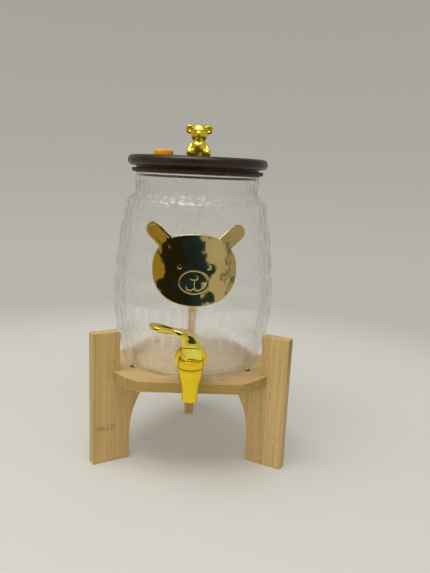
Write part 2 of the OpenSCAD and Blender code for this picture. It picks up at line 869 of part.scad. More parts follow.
module lid_disc() {
    color(BROWN) difference() {
        rotate_extrude($fn = 180) lid_profile();
        translate([0, 0, plug_z - over]) cylinder(r = knob_washer_r + 2 * fit, h = web_z - plug_z + over);
        translate([0, 0, web_z - over]) cylinder(r = knob_screw_r + fit, h = lid_web + 2 * over);
        at_vent() translate([0, 0, plug_z - over])
            cylinder(r = vent_stem_r + 2 * fit, h = lid_top - plug_z + 2 * over);
    }
}

module lid_seal() {
    edge = 0.9;
    color(DARK_SEAL) rotate_extrude($fn = 180) polygon(concat(
        [[seal_in_r, plug_z + edge], [seal_in_r + edge, plug_z]],
        [[seal_lip_r - edge, plug_z], [seal_lip_r, plug_z + edge], [seal_lip_r, rim_z]],
        arc_points([seal_flange_r - edge, rim_z + edge], edge, -90, 0, 4),
        arc_points([seal_flange_r - edge, seal_top - edge], edge, 0, 90, 4),
        [[seal_in_r, seal_top]]
    ));
}

module knob_washer() {
    color(STEEL) translate([0, 0, knob_washer_z]) difference() {
        cylinder(r = knob_washer_r, h = knob_washer_t);
        translate([0, 0, -over]) cylinder(r = knob_screw_r + fit, h = knob_washer_t + 2 * over);
    }
}

module knob_screw() {
    shank_h = knob_washer_t + lid_web + knob_screw_grip;
    slot_w = 1;
    color(STEEL) translate([0, 0, knob_washer_z]) difference() {
        union() {
            cylinder(r = knob_screw_r, h = shank_h);
            translate([0, 0, -knob_head_h]) cylinder(r = knob_head_r, h = knob_head_h);
        }
        for (a = [0, 90]) rotate([0, 0, a])
            translate([-knob_head_r / 2, -slot_w / 2, -knob_head_h - over])
                cube([knob_head_r, slot_w, knob_head_h / 2 + over]);
    }
}

// Knob: a plain seated bear, made of balls and round-ended limbs

module limb(from, to, r) {
    way = to - from;
    reach = norm(way);
    lean = acos(way[2] / reach);
    turn = atan2(way[1], way[0]);
    translate(from) sphere(r = r, $fn = 48);
    translate(to) sphere(r = r, $fn = 48);
    translate(from) rotate([0, lean, turn]) cylinder(r = r * 0.97, h = reach, $fn = 48);
}

module bear_ear(side) {
    translate([side * (head_r + ear_r / 9), 0, head_z + head_r * 0.4]) difference() {
        sphere(r = ear_r, $fn = 48);
        translate([0, -ear_r * 1.1, 0]) sphere(r = ear_r * 0.75, $fn = 48);
    }
}

module bear_knob() {
    muzzle_r = head_r * 0.44;
    muzzle_y = -head_r * 0.8;
    muzzle_z = head_z - head_tall / 2 - head_r * 0.22;
    arm_r = torso_r * 0.3;
    leg_r = torso_r * 0.42;
    seat_r = torso_r * 0.86;
    color(GOLD) difference() {
        union() {
            translate([0, 0, torso_z]) sphere(r = torso_r);
            translate([0, 0, bear_z]) cylinder(r = seat_r, h = torso_r / 2);
            translate([0, 0, torso_z]) cylinder(r = torso_r * 0.72, h = head_z - torso_z);
            limb([0, 0, head_z], [0, 0, head_z - head_tall], head_r);
            translate([0, muzzle_y, muzzle_z]) sphere(r = muzzle_r, $fn = 48);
            translate([0, muzzle_y - muzzle_r * 0.9, muzzle_z + muzzle_r * 0.35])
                sphere(r = muzzle_r * 0.32, $fn = 32);
            for (side = [-1, 1]) {
                bear_ear(side);
                translate([side * head_r * 0.36, -head_r * 0.86, head_z + head_r * 0.26])
                    sphere(r = head_r * 0.11, $fn = 32);
                limb(
                    [side * torso_r * 0.66, -torso_r * 0.1, torso_z + torso_r * 0.45],
                    [side * torso_r * 1.1, -torso_r * 0.5, torso_z - torso_r * 0.35],
                    arm_r
                );
                limb(
                    [side * torso_r * 0.7, -torso_r * 0.3, bear_z + leg_r + sit],
                    [side * torso_r, -torso_r * 0.98, bear_z + leg_r + sit],
                    leg_r
                );
            }
        }
        translate([0, 0, bear_z - over]) cylinder(r = knob_screw_r + fit, h = knob_screw_grip + 2 * over);
    }
}

module vent_plug() {
    cap_edge = 2.5;
    stem_end = 0.8;
    color(ORANGE) at_vent() rotate_extrude() polygon(concat(
        [[0, lid_top - vent_stem_len], [vent_stem_r - stem_end, lid_top - vent_stem_len]],
        [[vent_stem_r, lid_top - vent_stem_len + stem_end], [vent_stem_r, lid_top]],
        [[vent_cap_r - stem_end / 2, lid_top], [vent_cap_r, lid_top + stem_end / 2]],
        arc_points([vent_cap_r - cap_edge, lid_top + vent_cap_h - cap_edge], cap_edge, 0, 90, 6),
        [[0, lid_top + vent_cap_h]]
    ));
}

shelf_board();
leg_left();
leg_right();
leg_rear();
stand_screws();
glass_jar();
plaque_tape();
front_plaque();
outer_washer();
inner_washer();
shank_nut();
tap_body();
tap_spout();
stem_seal();
tap_spring();
tap_stopper();
tap_stem();
lever_pin();
tap_lever();
lid_disc();
lid_seal();
knob_washer();
knob_screw();
bear_knob();
vent_plug();
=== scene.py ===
"""Looks of a glass drink dispenser on a three-leg bamboo stand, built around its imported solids.

Sizes are in millimetres, in the part's own frame: the floor is z = 0, the jar's axis is x = y = 0,
and the tap points to -Y. Meshes and textures are in metres.
"""

import logging
import math
from dataclasses import dataclass
from enum import Enum

import bmesh
import bpy
import numpy as np
from mathutils import Matrix, Vector


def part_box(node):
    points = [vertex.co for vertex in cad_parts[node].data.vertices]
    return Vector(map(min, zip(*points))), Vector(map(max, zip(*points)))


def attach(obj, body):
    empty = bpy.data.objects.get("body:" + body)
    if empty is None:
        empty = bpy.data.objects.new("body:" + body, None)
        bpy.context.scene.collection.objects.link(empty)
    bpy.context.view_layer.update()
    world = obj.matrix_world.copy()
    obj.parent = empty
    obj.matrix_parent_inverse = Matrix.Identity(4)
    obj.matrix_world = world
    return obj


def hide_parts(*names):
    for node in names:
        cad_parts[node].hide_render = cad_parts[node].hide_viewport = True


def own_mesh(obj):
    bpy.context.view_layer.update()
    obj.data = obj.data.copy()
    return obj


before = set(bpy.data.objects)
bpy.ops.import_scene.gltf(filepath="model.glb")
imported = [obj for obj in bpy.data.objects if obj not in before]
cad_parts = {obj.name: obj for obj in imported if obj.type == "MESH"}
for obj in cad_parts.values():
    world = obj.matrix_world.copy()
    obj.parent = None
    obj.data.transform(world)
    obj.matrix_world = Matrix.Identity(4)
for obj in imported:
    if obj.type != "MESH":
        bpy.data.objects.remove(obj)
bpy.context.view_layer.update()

LOG = logging.getLogger("dispenser")
MM = 0.001
# Distance in metres within which corners are one
WELD = 1e-7
# Angle in degrees above which an edge is drawn sharp, where a piece has none of its own
CREASE = 35.0
# How far a tool reaches past what it cuts
PAST = 2.0
# Height of the photograph in pixels
FRAME_HEIGHT = 573
X_AXIS, Y_AXIS, Z_AXIS = np.eye(3)
# Sockets of a node that carries one range of values over to another
FROM, TO = ("From Min", "From Max"), ("To Min", "To Max")

Colour = tuple[float, float, float, float]
Pair = tuple[float, float]
Point = tuple[float, float, float]
Tree = bpy.types.NodeTree
Socket = bpy.types.NodeSocket
Piece = bpy.types.Object


class LegPlace(Enum):
    """Where a leg stands, as its turn round the jar's axis from +X, in degrees."""

    LEFT = 210.0
    RIGHT = 330.0
    REAR = 90.0

    def axes(self) -> np.ndarray:
        """Directions out from the jar's axis and across the leg, one per row."""
        cos, sin = math.cos(math.radians(self.value)), math.sin(math.radians(self.value))
        return np.array([(cos, sin, 0), (-sin, cos, 0)])


# Colours and nodes


def linear(hex_colour: str) -> Colour:
    """Turn an sRGB hex value into linear colour.

    Args:
        hex_colour: value such as "#aa8e55".

    Returns:
        Red, green, blue and an alpha of 1.
    """
    shares = np.array([int(hex_colour[i : i + 2], 16) for i in (1, 3, 5)]) / 255
    low, high = shares / 12.92, ((shares + 0.055) / 1.055) ** 2.4
    red, green, blue = np.where(shares <= 0.04045, low, high)
    return float(red), float(green), float(blue), 1.0


def per_metre(size_mm: float | Point) -> Point:
    """Texture scale along x, y and z, for features of one size or of three."""
    return tuple(1 / (np.broadcast_to(size_mm, 3) * MM))


def connect(tree: Tree, node: bpy.types.Node, inputs: dict) -> None:
    """Set the inputs of a node.

    Args:
        tree: node tree that holds the node.
        node: the node.
        inputs: socket name or number to a value, or to the output socket that feeds it. A tuple of
            names takes as many values.
    """
    for key, value in inputs.items():
        if isinstance(key, tuple):
            connect(tree, node, dict(zip(key, value)))
        elif isinstance(value, Socket):
            tree.links.new(value, node.inputs[key])
        else:
            node.inputs[key].default_value = value


def add_node(
    tree: Tree, kind: str, inputs: dict | None = None, **settings: object
) -> bpy.types.bpy_prop_collection:
    """Add one node with its settings and links.

    Args:
        tree: node tree that gets the node.
        kind: Blender's name for the node's type, after "ShaderNode".
        inputs: what its inputs get, as for connect.
        **settings: attributes of the node.

    Returns:
        The node's outputs.
    """
    node = tree.nodes.new(f"ShaderNode{kind}")
    for key, value in settings.items():
        setattr(node, key, value)
    connect(tree, node, inputs or {})
    return node.outputs


# Surfaces


@dataclass
class Patch:
    """Grid of points in millimetres, rows by columns by x, y, z.

    Attributes:
        points: the grid.
        round_rows: the last row joins the first.
        round_columns: the last column joins the first.
    """

    points: np.ndarray
    round_rows: bool = False
    round_columns: bool = True

    def faces(self) -> np.ndarray:
        """Join neighbouring rows and columns by squares.

        Returns:
            Four corner numbers for each square.
        """
        rows, columns = self.points.shape[:2]
        i = np.arange(rows if self.round_rows else rows - 1)[:, None]
        j = np.arange(columns if self.round_columns else columns - 1)[None, :]
        down, right = (i + 1) % rows * columns, (j + 1) % columns
        corners = [i * columns + j, i * columns + right, down + right, down + j]
        return np.stack(np.broadcast_arrays(*corners), axis=-1).reshape(-1, 4)


def arc(centre: Pair, radius: float, start: float, end: float, steps: int) -> np.ndarray:
    """Points centre + radius (cos a, sin a), for a from start to end in degrees.

    Args:
        centre: middle of the arc.
        radius: its radius.
        start: first angle.
        end: last angle.
        steps: number of stretches between points.

    Returns:
        Array of steps + 1 points.
    """
    angle = np.radians(np.linspace(start, end, steps + 1))
    return np.array(centre) + radius * np.stack([np.cos(angle), np.sin(angle)], axis=1)


def rounded(*corners: tuple[float, ...]) -> np.ndarray:
    """Line through corners, some of them rounded as between a level and an upright side.

    A corner p becomes p + e (a + b - b cos t - a sin t) for t from 0 to 90 degrees, where a and b
    point along the axes to the corner before it and the one after it. One step makes a chamfer.

    Args:
        *corners: radius and height, and for a rounded corner its radius e and number of steps.

    Returns:
        Points of the line.
    """
    places = np.array([corner[:2] for corner in corners], float)
    way = np.roll(places, -1, axis=0) - places
    way = np.round(way / np.linalg.norm(way, axis=1, keepdims=True))
    line = []
    for place, before, after, corner in zip(places, -np.roll(way, 1, axis=0), way, corners):
        radius, steps = corner[2:] if len(corner) > 2 else (0, 0)
        turn = np.radians(np.linspace(0, 90, int(steps) + 1))[:, None]
        bow = before + after - after * np.cos(turn) - before * np.sin(turn)
        line.append(place + radius * bow)
    return np.concatenate(line)


def smooth_step(value: np.ndarray, low: float, high: float) -> np.ndarray:
    """Share of the way from low to high, t, eased as 3 t t - 2 t t t."""
    share = np.clip((value - low) / (high - low), 0, 1)
    return share * share * (3 - 2 * share)


def turned(
    profile: np.ndarray | list, steps: int, origin: Point = (0, 0, 0), axis: Point = (0, 0, 1),
    ring: bool = False,
) -> Patch:
    """Surface of revolution: origin + h axis + r (cos a side + sin a across) for each (r, h).

    Args:
        profile: radius r and height h of each point, in order.
        steps: points round the axis.
        origin: where height 0 lies on the axis.
        axis: direction of the axis.
        ring: the profile is a closed line that stays off the axis.

    Returns:
        The surface, one row per profile point.
    """
    along = Vector(axis).normalized()
    side = along.orthogonal().normalized()
    across = along.cross(side)
    radius, height = np.asarray(profile, float).T[..., None, None]
    angle = np.linspace(0, 2 * np.pi, steps, endpoint=False)[:, None]
    spoke = np.cos(angle) * np.array(side) + np.sin(angle) * np.array(across)
    return Patch(np.array(origin) + height * np.array(along) + radius * spoke, round_rows=ring)


def rod(radius: float, start: Point, end: Point, steps: int = 48, ball: bool = False) -> Patch:
    """Closed round rod between two points: its half section, turned. Equal points give a ball.

    Args:
        radius: radius of the rod.
        start: middle of one end.
        end: middle of the other.
        steps: points round the axis.
        ball: the ends are half balls beyond those points, and not flat.

    Returns:
        The surface.
    """
    way = np.subtract(end, start)
    reach = float(np.linalg.norm(way))
    profile = [(0, 0), (radius, 0), (radius, reach), (0, reach)]
    if ball:
        profile = [*arc((0, 0), radius, -90, 0, 8), *arc((0, reach), radius, 0, 90, 8)]
    return turned(profile, steps, start, tuple(way) if reach else (0, 0, 1))


def block(low: Point, high: Point) -> Patch:
    """Rectangular block: a square ring carried from its lower face to its upper one, both closed.

    Args:
        low: corner with the least x, y and z.
        high: corner with the greatest.

    Returns:
        The surface.
    """
    (x0, y0, z0), (x1, y1, z1) = low, high
    ring = np.array([(x0, y0), (x1, y0), (x1, y1), (x0, y1)])
    middle = np.broadcast_to(ring.mean(axis=0), ring.shape)
    rows = ((middle, z0), (ring, z0), (ring, z1), (middle, z1))
    return Patch(np.stack([np.column_stack([flat, np.full(4, z)]) for flat, z in rows]))


def mesh_piece(name: str, points: np.ndarray, faces: list, crease: float) -> Piece:
    """Make an object at the origin, with its poles closed and its faces turned outwards.

    Args:
        name: name of the object.
        points: corners in millimetres.
        faces: corner numbers of each face.
        crease: angle in degrees above which an edge is drawn sharp.

    Returns:
        The object, linked to the scene.
    """
    mesh = bpy.data.meshes.new(name)
    mesh.from_pydata(points * MM, [], faces)
    shape = bmesh.new()
    shape.from_mesh(mesh)
    bmesh.ops.remove_doubles(shape, verts=shape.verts, dist=WELD)
    bmesh.ops.dissolve_degenerate(shape, edges=shape.edges, dist=WELD)
    bmesh.ops.recalc_face_normals(shape, faces=shape.faces)
    shape.to_mesh(mesh)
    shape.free()
    piece = bpy.data.objects.new(name, mesh)
    bpy.context.scene.collection.objects.link(piece)
    shade(piece, crease)
    return piece


def surface_piece(name: str, patches: list[Patch], crease: float = CREASE) -> Piece:
    """Make one object from one or more patches.

    Args:
        name: name of the object.
        patches: its surfaces.
        crease: angle in degrees above which an edge is drawn sharp.

    Returns:
        The object.
    """
    grids = [patch.points.reshape(-1, 3) for patch in patches]
    starts = np.cumsum([0, *map(len, grids)])
    faces = np.concatenate([patch.faces() + start for patch, start in zip(patches, starts)])
    return mesh_piece(name, np.concatenate(grids), faces.tolist(), crease)


def shade(piece: Piece, crease: float) -> None:
    """Draw a mesh smooth, apart from edges sharper than the crease angle in degrees."""
    piece.data.shade_smooth()
    piece.data.set_sharp_from_angle(angle=math.radians(crease))


def settle_modifiers(piece: Piece) -> None:
    """Replace a piece's mesh by the one that its modifiers give.

    Args:
        piece: the piece, which loses its modifiers.
    """
    bpy.context.view_layer.update()
    depsgraph = bpy.context.evaluated_depsgraph_get()
    finished = bpy.data.meshes.new_from_object(piece.evaluated_get(depsgraph))
    rough = piece.data
    piece.modifiers.clear()
    piece.data = finished
    bpy.data.meshes.remove(rough)


def cut(piece: Piece, tools: list[Patch], crease: float = CREASE) -> None:
    """Take the space of closed tools out of a piece.

    Args:
        piece: piece that is cut.
        tools: closed surfaces, such as drills and blocks.
        crease: angle in degrees above which an edge is drawn sharp.
    """
    cutters = [surface_piece(f"cutter_{i}", [tool]) for i, tool in enumerate(tools)]
    for cutter in cutters:
        step = piece.modifiers.new("cut", "BOOLEAN")
        step.operation, step.solver, step.object = "DIFFERENCE", "EXACT", cutter
    settle_modifiers(piece)
    for cutter in cutters:
        bpy.data.meshes.remove(cutter.data)
    shade(piece, crease)


# Finishes


@dataclass(frozen=True)
class Finish:
    """What a surface is made of. Subclasses paint it."""

    name: str

    def material(self) -> bpy.types.Material:
        """Find the finish's material, which is made once.

        Returns:
            The material.
        """
        made = bpy.data.materials.get(self.name)
        if made is None:
            made = bpy.data.materials.new(self.name)
            made.use_nodes = True
            shader = made.node_tree.nodes["Principled BSDF"]
            connect(made.node_tree, shader, self.paint(made.node_tree))
        return made

    def paint(self, tree: Tree) -> dict[str, object]:
        """Make the finish's patterns.

        Args:
            tree: the material's nodes.

        Returns:
            What each socket of the Principled shader gets.
        """
        raise NotImplementedError


@dataclass(frozen=True)
class LaminatedBamboo(Finish):
    """Flat-pressed bamboo: split stems planed to strips, glued side by side, sanded and oiled.

    The eye gets straight fibres, short dark flecks, a glue line every strip, and a knuckle across
    each strip. Painted shade can darken the sawn edges.
    """

    pale: str = "#d2b47c"
    deep: str = "#b89759"
    fleck: str = "#8a6a35"
    glue: str = "#94733a"
    # Colour that multiplies the sawn edges as painted shade; white leaves them as they are
    painted_edge_shade: str = "#ffffff"
    strip_mm: float = 20.0
    strip_tone: Pair = (0.93, 1.06)
    fibre_mm: Point = (1.1, 1.1, 70.0)
    fibre_range: Pair = (0.28, 0.72)
    fibre_h: float = 0.08
    fibre_strength: float = 0.35
    fleck_mm: Point = (0.5, 0.5, 9.0)
    fleck_range: Pair = (0.62, 0.76)
    fleck_depth: float = 0.35
    glue_half_mm: float = 0.45
    glue_depth: float = 0.75
    knuckle_every_mm: float = 330.0
    knuckle_half_mm: float = 5.0
    knuckle_depth: float = 0.9
    knuckle_step: float = 0.37
    blotch_mm: float = 2.2
    blotch_range: Pair = (0.38, 0.68)
    sawn_mm: Pair = (4.4, 4.8)
    rough: Pair = (0.40, 0.58)
    shine: float = 0.35

    def paint(self, tree: Tree) -> dict[str, object]:
        """Lay the fibres along the board's own grain maps.

        Args:
            tree: the material's nodes.

        Returns:
            What each socket of the Principled shader gets.
        """
        face, through = (
            add_node(tree, "SeparateXYZ", {0: add_node(tree, "UVMap", uv_map=name)[0]})
            for name in ("face", "through"))
        across, along, depth = face["X"], face["Y"], through["X"]
        wood = add_node(tree, "CombineXYZ", {"X": across, "Y": depth, "Z": along})[0]
        fibre, fleck, blotch = (
            add_node(tree, "TexNoise", {"Scale": 1.0, "Detail": detail, "Vector": add_node(
                tree, "VectorMath", {0: wood, 1: per_metre(size)}, operation="MULTIPLY")[0]})[0]
            for size, detail in ((self.fibre_mm, 4), (self.fleck_mm, 0), (self.blotch_mm, 2)))
        fleck = add_node(tree, "MapRange", {
            "Value": fleck, FROM: self.fleck_range, TO: (0, self.fleck_depth)})[0]

        strips = add_node(tree, "Math", {0: across, 1: self.strip_mm * MM}, operation="DIVIDE")[0]
        strip = add_node(tree, "Math", {0: strips}, operation="FLOOR")[0]
        glue = self.line(tree, strips, self.glue_half_mm / self.strip_mm, self.glue_depth)
        tone = add_node(tree, "TexWhiteNoise", {"W": strip}, noise_dimensions="1D")["Value"]
        tone = add_node(tree, "MapRange", {"Value": tone, TO: self.strip_tone})[0]

        # Each strip has its knuckles further along than the one before it, and they are blotched
        step = add_node(tree, "Math", {0: strip, 1: self.knuckle_step}, operation="MULTIPLY")[0]
        knuckles = add_node(tree, "Math", {
            0: along, 1: 1 / (self.knuckle_every_mm * MM), 2: step}, operation="MULTIPLY_ADD")[0]
        band = self.line(
            tree, knuckles, self.knuckle_half_mm / self.knuckle_every_mm, self.knuckle_depth)
        blotch = add_node(tree, "MapRange", {"Value": blotch, FROM: self.blotch_range})[0]
        knuckle = add_node(tree, "Math", {0: band, 1: blotch}, operation="MULTIPLY")[0]

        share = add_node(tree, "MapRange", {"Value": fibre, FROM: self.fibre_range})[0]
        colour = add_node(tree, "Mix", {
            0: share, 6: linear(self.pale), 7: linear(self.deep)}, data_type="RGBA")[2]
        colour = add_node(tree, "HueSaturation", {"Value": tone, "Color": colour})[0]
        # Painted shade: a board's sawn edges are multiplied by a darker colour
        off = add_node(tree, "Math", {0: depth}, operation="ABSOLUTE")[0]
        sawn = add_node(tree, "MapRange", {
            "Value": off, FROM: np.multiply(self.sawn_mm, MM), TO: (1, 0)})[0]
        for share, stain, blend in (
            (fleck, self.fleck, "MIX"), (glue, self.glue, "MIX"), (knuckle, self.fleck, "MIX"),
            (sawn, self.painted_edge_shade, "MULTIPLY"),
        ):
            colour = add_node(tree, "Mix", {0: share, 6: colour, 7: linear(stain)},
                              data_type="RGBA", blend_type=blend)[2]
        return {
            "Base Color": colour,
            "Roughness": add_node(tree, "MapRange", {"Value": fibre, TO: self.rough})[0],
            "Normal": add_node(tree, "Bump", {
                "Strength": self.fibre_strength, "Distance": self.fibre_h * MM,
                "Height": fibre})[0],
            "Specular IOR Level": self.shine,
        }

    @staticmethod
    def line(tree: Tree, count: Socket, half: float, depth: float) -> Socket:
        """Soft line wherever a count passes a whole number.

        Args:
            tree: the material's nodes.
            count: number of spacings from the start.
            half: half the width of a line, in spacings.
            depth: share of the line's colour at its middle.

        Returns:
            Socket with the line's share.
        """
        off = add_node(tree, "Math", {0: count, 1: 0.5}, operation="PINGPONG")[0]
        return add_node(tree, "MapRange", {"Value": off, FROM: (0, half), TO: (depth, 0)},
                        interpolation_type="SMOOTHSTEP")[0]


@dataclass(frozen=True)
class PressedGlass(Finish):
    """Clear soda-lime glass, pressed in a mould and fire-polished.

    The eye gets slow waves in what it sees through and a rippled sheen. Painted highlights make
    the rim opaque white and lighten the pressed creases.
    """

    tint: str = "#fafaf8"
    bend: float = 1.13
    straight: float = 0.35
    wave_mm: float = 9.0
    wave_h: float = 0.35
    wave_strength: float = 0.5
    rough: Pair = (0.0, 0.03)
    ripple_mm: float = 6.0
    ripple_h: float = 2.2
    skin_bend: float = 1.5
    skin_rough: float = 0.01
    # Painted highlight: heights over which the rim turns from clear to opaque white
    rim_highlight_mm: Pair = (280.1, 280.6)
    pillows: int = 44
    tier_from_mm: float = 109.0
    tier_mm: float = 25.6
    # Painted highlight: how much light the creases stop, so that the white tint shows there
    crease_highlight: float = 0.28
    crease_upper: float = 0.3
    crease_half: float = 0.22
    crease_rest: float = 0.15
    crease_from: float = 0.2
    crease_fade_mm: Pair = (150.0, 190.0)

    def paint(self, tree: Tree) -> dict[str, object]:
        """Make clear glass with the mould's slow waves.

        Light bends less than in a solid block, and a share goes straight on, as through a thin
        wall. The skin reflects as glass does.

        Args:
            tree: the material's nodes.

        Returns:
            What each socket of the Principled shader gets.
        """
        place = add_node(tree, "TexCoord")["Object"]
        axis = add_node(tree, "SeparateXYZ", {0: place})
        # Painted highlight: above these heights the rim turns opaque white, in place of the light
        # that catches it
        through, cover = (
            add_node(tree, "MapRange", {
                "Value": axis["Z"], FROM: np.multiply(self.rim_highlight_mm, MM), TO: wall_and_rim})[0]
            for wall_and_rim in ((self.creases(tree, axis), 0), (1 - self.straight, 1)))
        wave, ripple = (
            add_node(tree, "TexNoise", {
                "Vector": place, "Scale": per_metre(size)[0], "Detail": detail})[0]
            for size, detail in ((self.wave_mm, 1), (self.ripple_mm, 0)))
        return {
            "Base Color": linear(self.tint),
            "Transmission Weight": through,
            "Alpha": cover,
            "IOR": self.bend,
            "Roughness": add_node(tree, "MapRange", {"Value": wave, TO: self.rough})[0],
            "Normal": add_node(tree, "Bump", {
                "Strength": self.wave_strength, "Distance": self.wave_h * MM,
                "Height": wave})[0],
            "Coat Weight": 1.0,
            "Coat IOR": self.skin_bend,
            "Coat Roughness": self.skin_rough,
            "Coat Normal": add_node(tree, "Bump", {
                "Strength": 1.0, "Distance": self.ripple_h * MM, "Height": ripple})[0],
        }

    def creases(self, tree: Tree, axis: bpy.types.bpy_prop_collection) -> Socket:
        """Paint highlights into the pressed creases, most of all under a tier line.

        Args:
            tree: the material's nodes.
            axis: x, y and z of the place.

        Returns:
            Socket with the share of light that passes.
        """
        turn = add_node(tree, "Math", {0: axis["Y"], 1: axis["X"]}, operation="ARCTAN2")[0]
        tier = add_node(tree, "Math", {
            0: axis["Z"], 1: 1 / (self.tier_mm * MM), 2: -self.tier_from_mm / self.tier_mm},
            operation="MULTIPLY_ADD")[0]
        level = add_node(tree, "Math", {0: tier}, operation="FLOOR")[0]
        shift = add_node(tree, "Math", {0: level, 1: 0.5, 2: 0.5}, operation="MULTIPLY_ADD")[0]
        count = add_node(tree, "Math", {
            0: turn, 1: self.pillows / (2 * math.pi), 2: shift}, operation="MULTIPLY_ADD")[0]
        off = add_node(tree, "Math", {0: count, 1: 0.5}, operation="PINGPONG")[0]
        climb = add_node(tree, "Math", {0: tier}, operation="FRACT")[0]
        lit = 1.0
        for value, before, after in (
            (off, (0, self.crease_half), (1, self.crease_rest)),
            (climb, (self.crease_from, 1), (0, 1)),
            (axis["Z"], np.multiply(self.crease_fade_mm, MM),
             (self.crease_highlight, self.crease_upper * self.crease_highlight)),
        ):
            share = add_node(tree, "MapRange", {"Value": value, FROM: before, TO: after})[0]
            lit = add_node(tree, "Math", {0: lit, 1: share}, operation="MULTIPLY")[0]
        return add_node(tree, "Math", {0: 1.0, 1: lit}, operation="SUBTRACT")[0]


@dataclass(frozen=True)
class Mottled(Finish):
    """Skin with slow patches of a second colour over a fine relief.

    Attributes:
        colour: main colour.
        patch: colour of the patches.
        patch_mm: size of the patches, or their sizes along x, y and z.
        patch_detail: finer layers of the patches.
        patch_range: noise values at which a patch starts and is full.
        grain_mm: size of the relief, or its sizes along x, y and z.
        grain_detail: finer layers of the relief.
        grain_h: height of the relief, in millimetres.
        grain_strength: how much it bends light.
        rough: least and greatest roughness.
        rough_range: noise values at which the patches give them.
        sockets: other sockets of the shader and their values.
    """

    colour: str = "#ffffff"
    patch: str = "#ffffff"
    patch_mm: float | Point = 20.0
    patch_detail: float = 4.0
    patch_range: Pair = (0.0, 1.0)
    grain_mm: float | Point = 1.0
    grain_detail: float = 2.0
    grain_h: float = 0.05
    grain_strength: float = 0.2
    rough: Pair = (0.4, 0.5)
    rough_range: Pair = (0.3, 0.7)
    sockets: tuple[tuple[str, float], ...] = ()

    def paint(self, tree: Tree) -> dict[str, object]:
        """Mix the two colours by the patches and raise the relief.

        Args:
            tree: the material's nodes.

        Returns:
            What each socket of the Principled shader gets.
        """
        place = add_node(tree, "TexCoord")["Object"]
        patch, grain = (
            add_node(tree, "TexNoise", {"Scale": 1.0, "Detail": detail, "Vector": add_node(
                tree, "VectorMath", {0: place, 1: per_metre(size)}, operation="MULTIPLY")[0]})[0]
            for size, detail in (
                (self.patch_mm, self.patch_detail), (self.grain_mm, self.grain_detail)))
        share = add_node(tree, "MapRange", {"Value": patch, FROM: self.patch_range})[0]
        return {
            "Base Color": add_node(tree, "Mix", {
                0: share, 6: linear(self.colour), 7: linear(self.patch)}, data_type="RGBA")[2],
            "Roughness": add_node(tree, "MapRange", {
                "Value": patch, FROM: self.rough_range, TO: self.rough})[0],
            "Normal": add_node(tree, "Bump", {
                "Strength": self.grain_strength, "Distance": self.grain_h * MM,
                "Height": grain})[0],
            **dict(self.sockets),
        }


@dataclass(frozen=True)
class GoldPlating(Mottled):
    """Gold-coloured plating, dulled in patches: the coat's slow waves bend what it reflects."""

    colour: str = "#fbdb30"
    patch: str = "#f2cc2c"
    patch_mm: float = 18.0
    patch_detail: float = 3.0
    patch_range: Pair = (0.4, 0.75)
    grain_mm: float = 6.0
    grain_h: float = 0.15
    grain_strength: float = 0.12
    rough: Pair = (0.03, 0.09)
    sockets: tuple[tuple[str, float], ...] = (("Metallic", 1.0),)


@dataclass(frozen=True)
class MouldedPlastic(Mottled):
    """Injection-moulded plastic, rubbed in patches: a spark-eroded texture breaks up highlights.

    The texture is drawn coarser than the real 0.1 mm, so that it shows.
    """

    colour: str = "#24180e"
    patch: str = "#302217"
    patch_mm: float = 28.0
    patch_range: Pair = (0.42, 0.72)
    grain_mm: float = 0.8
    grain_detail: float = 1.0
    grain_strength: float = 0.15
    rough: Pair = (0.28, 0.42)
    sockets: tuple[tuple[str, float], ...] = (("IOR", 1.42),)


@dataclass(frozen=True)
class SoftSilicone(Mottled):
    """Moulded silicone rubber: matt, with a paler bloom of dust that clings to it."""

    colour: str = "#e8980f"
    patch: str = "#e8a12a"
    patch_mm: float = 4.0
    patch_range: Pair = (0.45, 0.8)
    grain_mm: float = 4.0
    grain_detail: float = 4.0
    rough: Pair = (0.6, 0.6)
    sockets: tuple[tuple[str, float], ...] = (("IOR", 1.41), ("Specular IOR Level", 0.25))


@dataclass(frozen=True)
class DrawnSteel(Mottled):
    """Steel drawn to wire or turned: fine scratches run round it, stained by oxide."""

    colour: str = "#9b9894"
    patch: str = "#6f6a64"
    patch_mm: Point = (2.0, 2.0, 0.3)
    patch_detail: float = 2.0
    grain_mm: Point = (2.0, 2.0, 0.3)
    grain_h: float = 0.03
    rough: Pair = (0.32, 0.32)
    sockets: tuple[tuple[str, float], ...] = (("Metallic", 1.0),)


BAMBOO = LaminatedBamboo("oiled_bamboo")
# The shelf's sawn edges are darkened by painted shade
SHELF_BAMBOO = LaminatedBamboo("oiled_bamboo_board", painted_edge_shade="#dfdfbc")
GLASS = PressedGlass("pressed_glass")
TAP_GOLD = GoldPlating("plated_tap")
LEVER_GOLD = GoldPlating(
    "plated_thumb_lever", "#fdec6c", "#f0d146", patch_mm=36.0, grain_mm=12.0, grain_detail=0.0,
    grain_h=2.4, grain_strength=1.0)
KNOB_GOLD = GoldPlating(
    "plated_casting", "#f9e45f", "#f0d74b", patch_mm=9.0, grain_mm=3.0, rough=(0.28, 0.36))
MIRROR_GOLD = GoldPlating(
    "mirror_gold_sheet", "#cbb77e", "#bfaa72", patch_mm=48.0, grain_mm=16.0, grain_strength=0.5,
    rough=(0.02, 0.05))
LID_PLASTIC = MouldedPlastic("brown_moulding")
NUT_PLASTIC = MouldedPlastic("white_moulding", "#dcd9d0", "#e6e3da", rough=(0.35, 0.5))
RIM_RUBBER = SoftSilicone("brown_silicone", "#33231d", "#453229", rough=(0.45, 0.45))
SEAL_RUBBER = SoftSilicone("black_rubber", "#1d1b1a", "#2c2927", rough=(0.5, 0.5))
PLUG_RUBBER = SoftSilicone("moulded_orange_silicone")
CLEAR_RUBBER = SoftSilicone(
    "cloudy_silicone", "#e4e3dc", "#d8d6cd", rough=(0.35, 0.35),
    sockets=(*SoftSilicone.sockets, ("Transmission Weight", 0.55)))
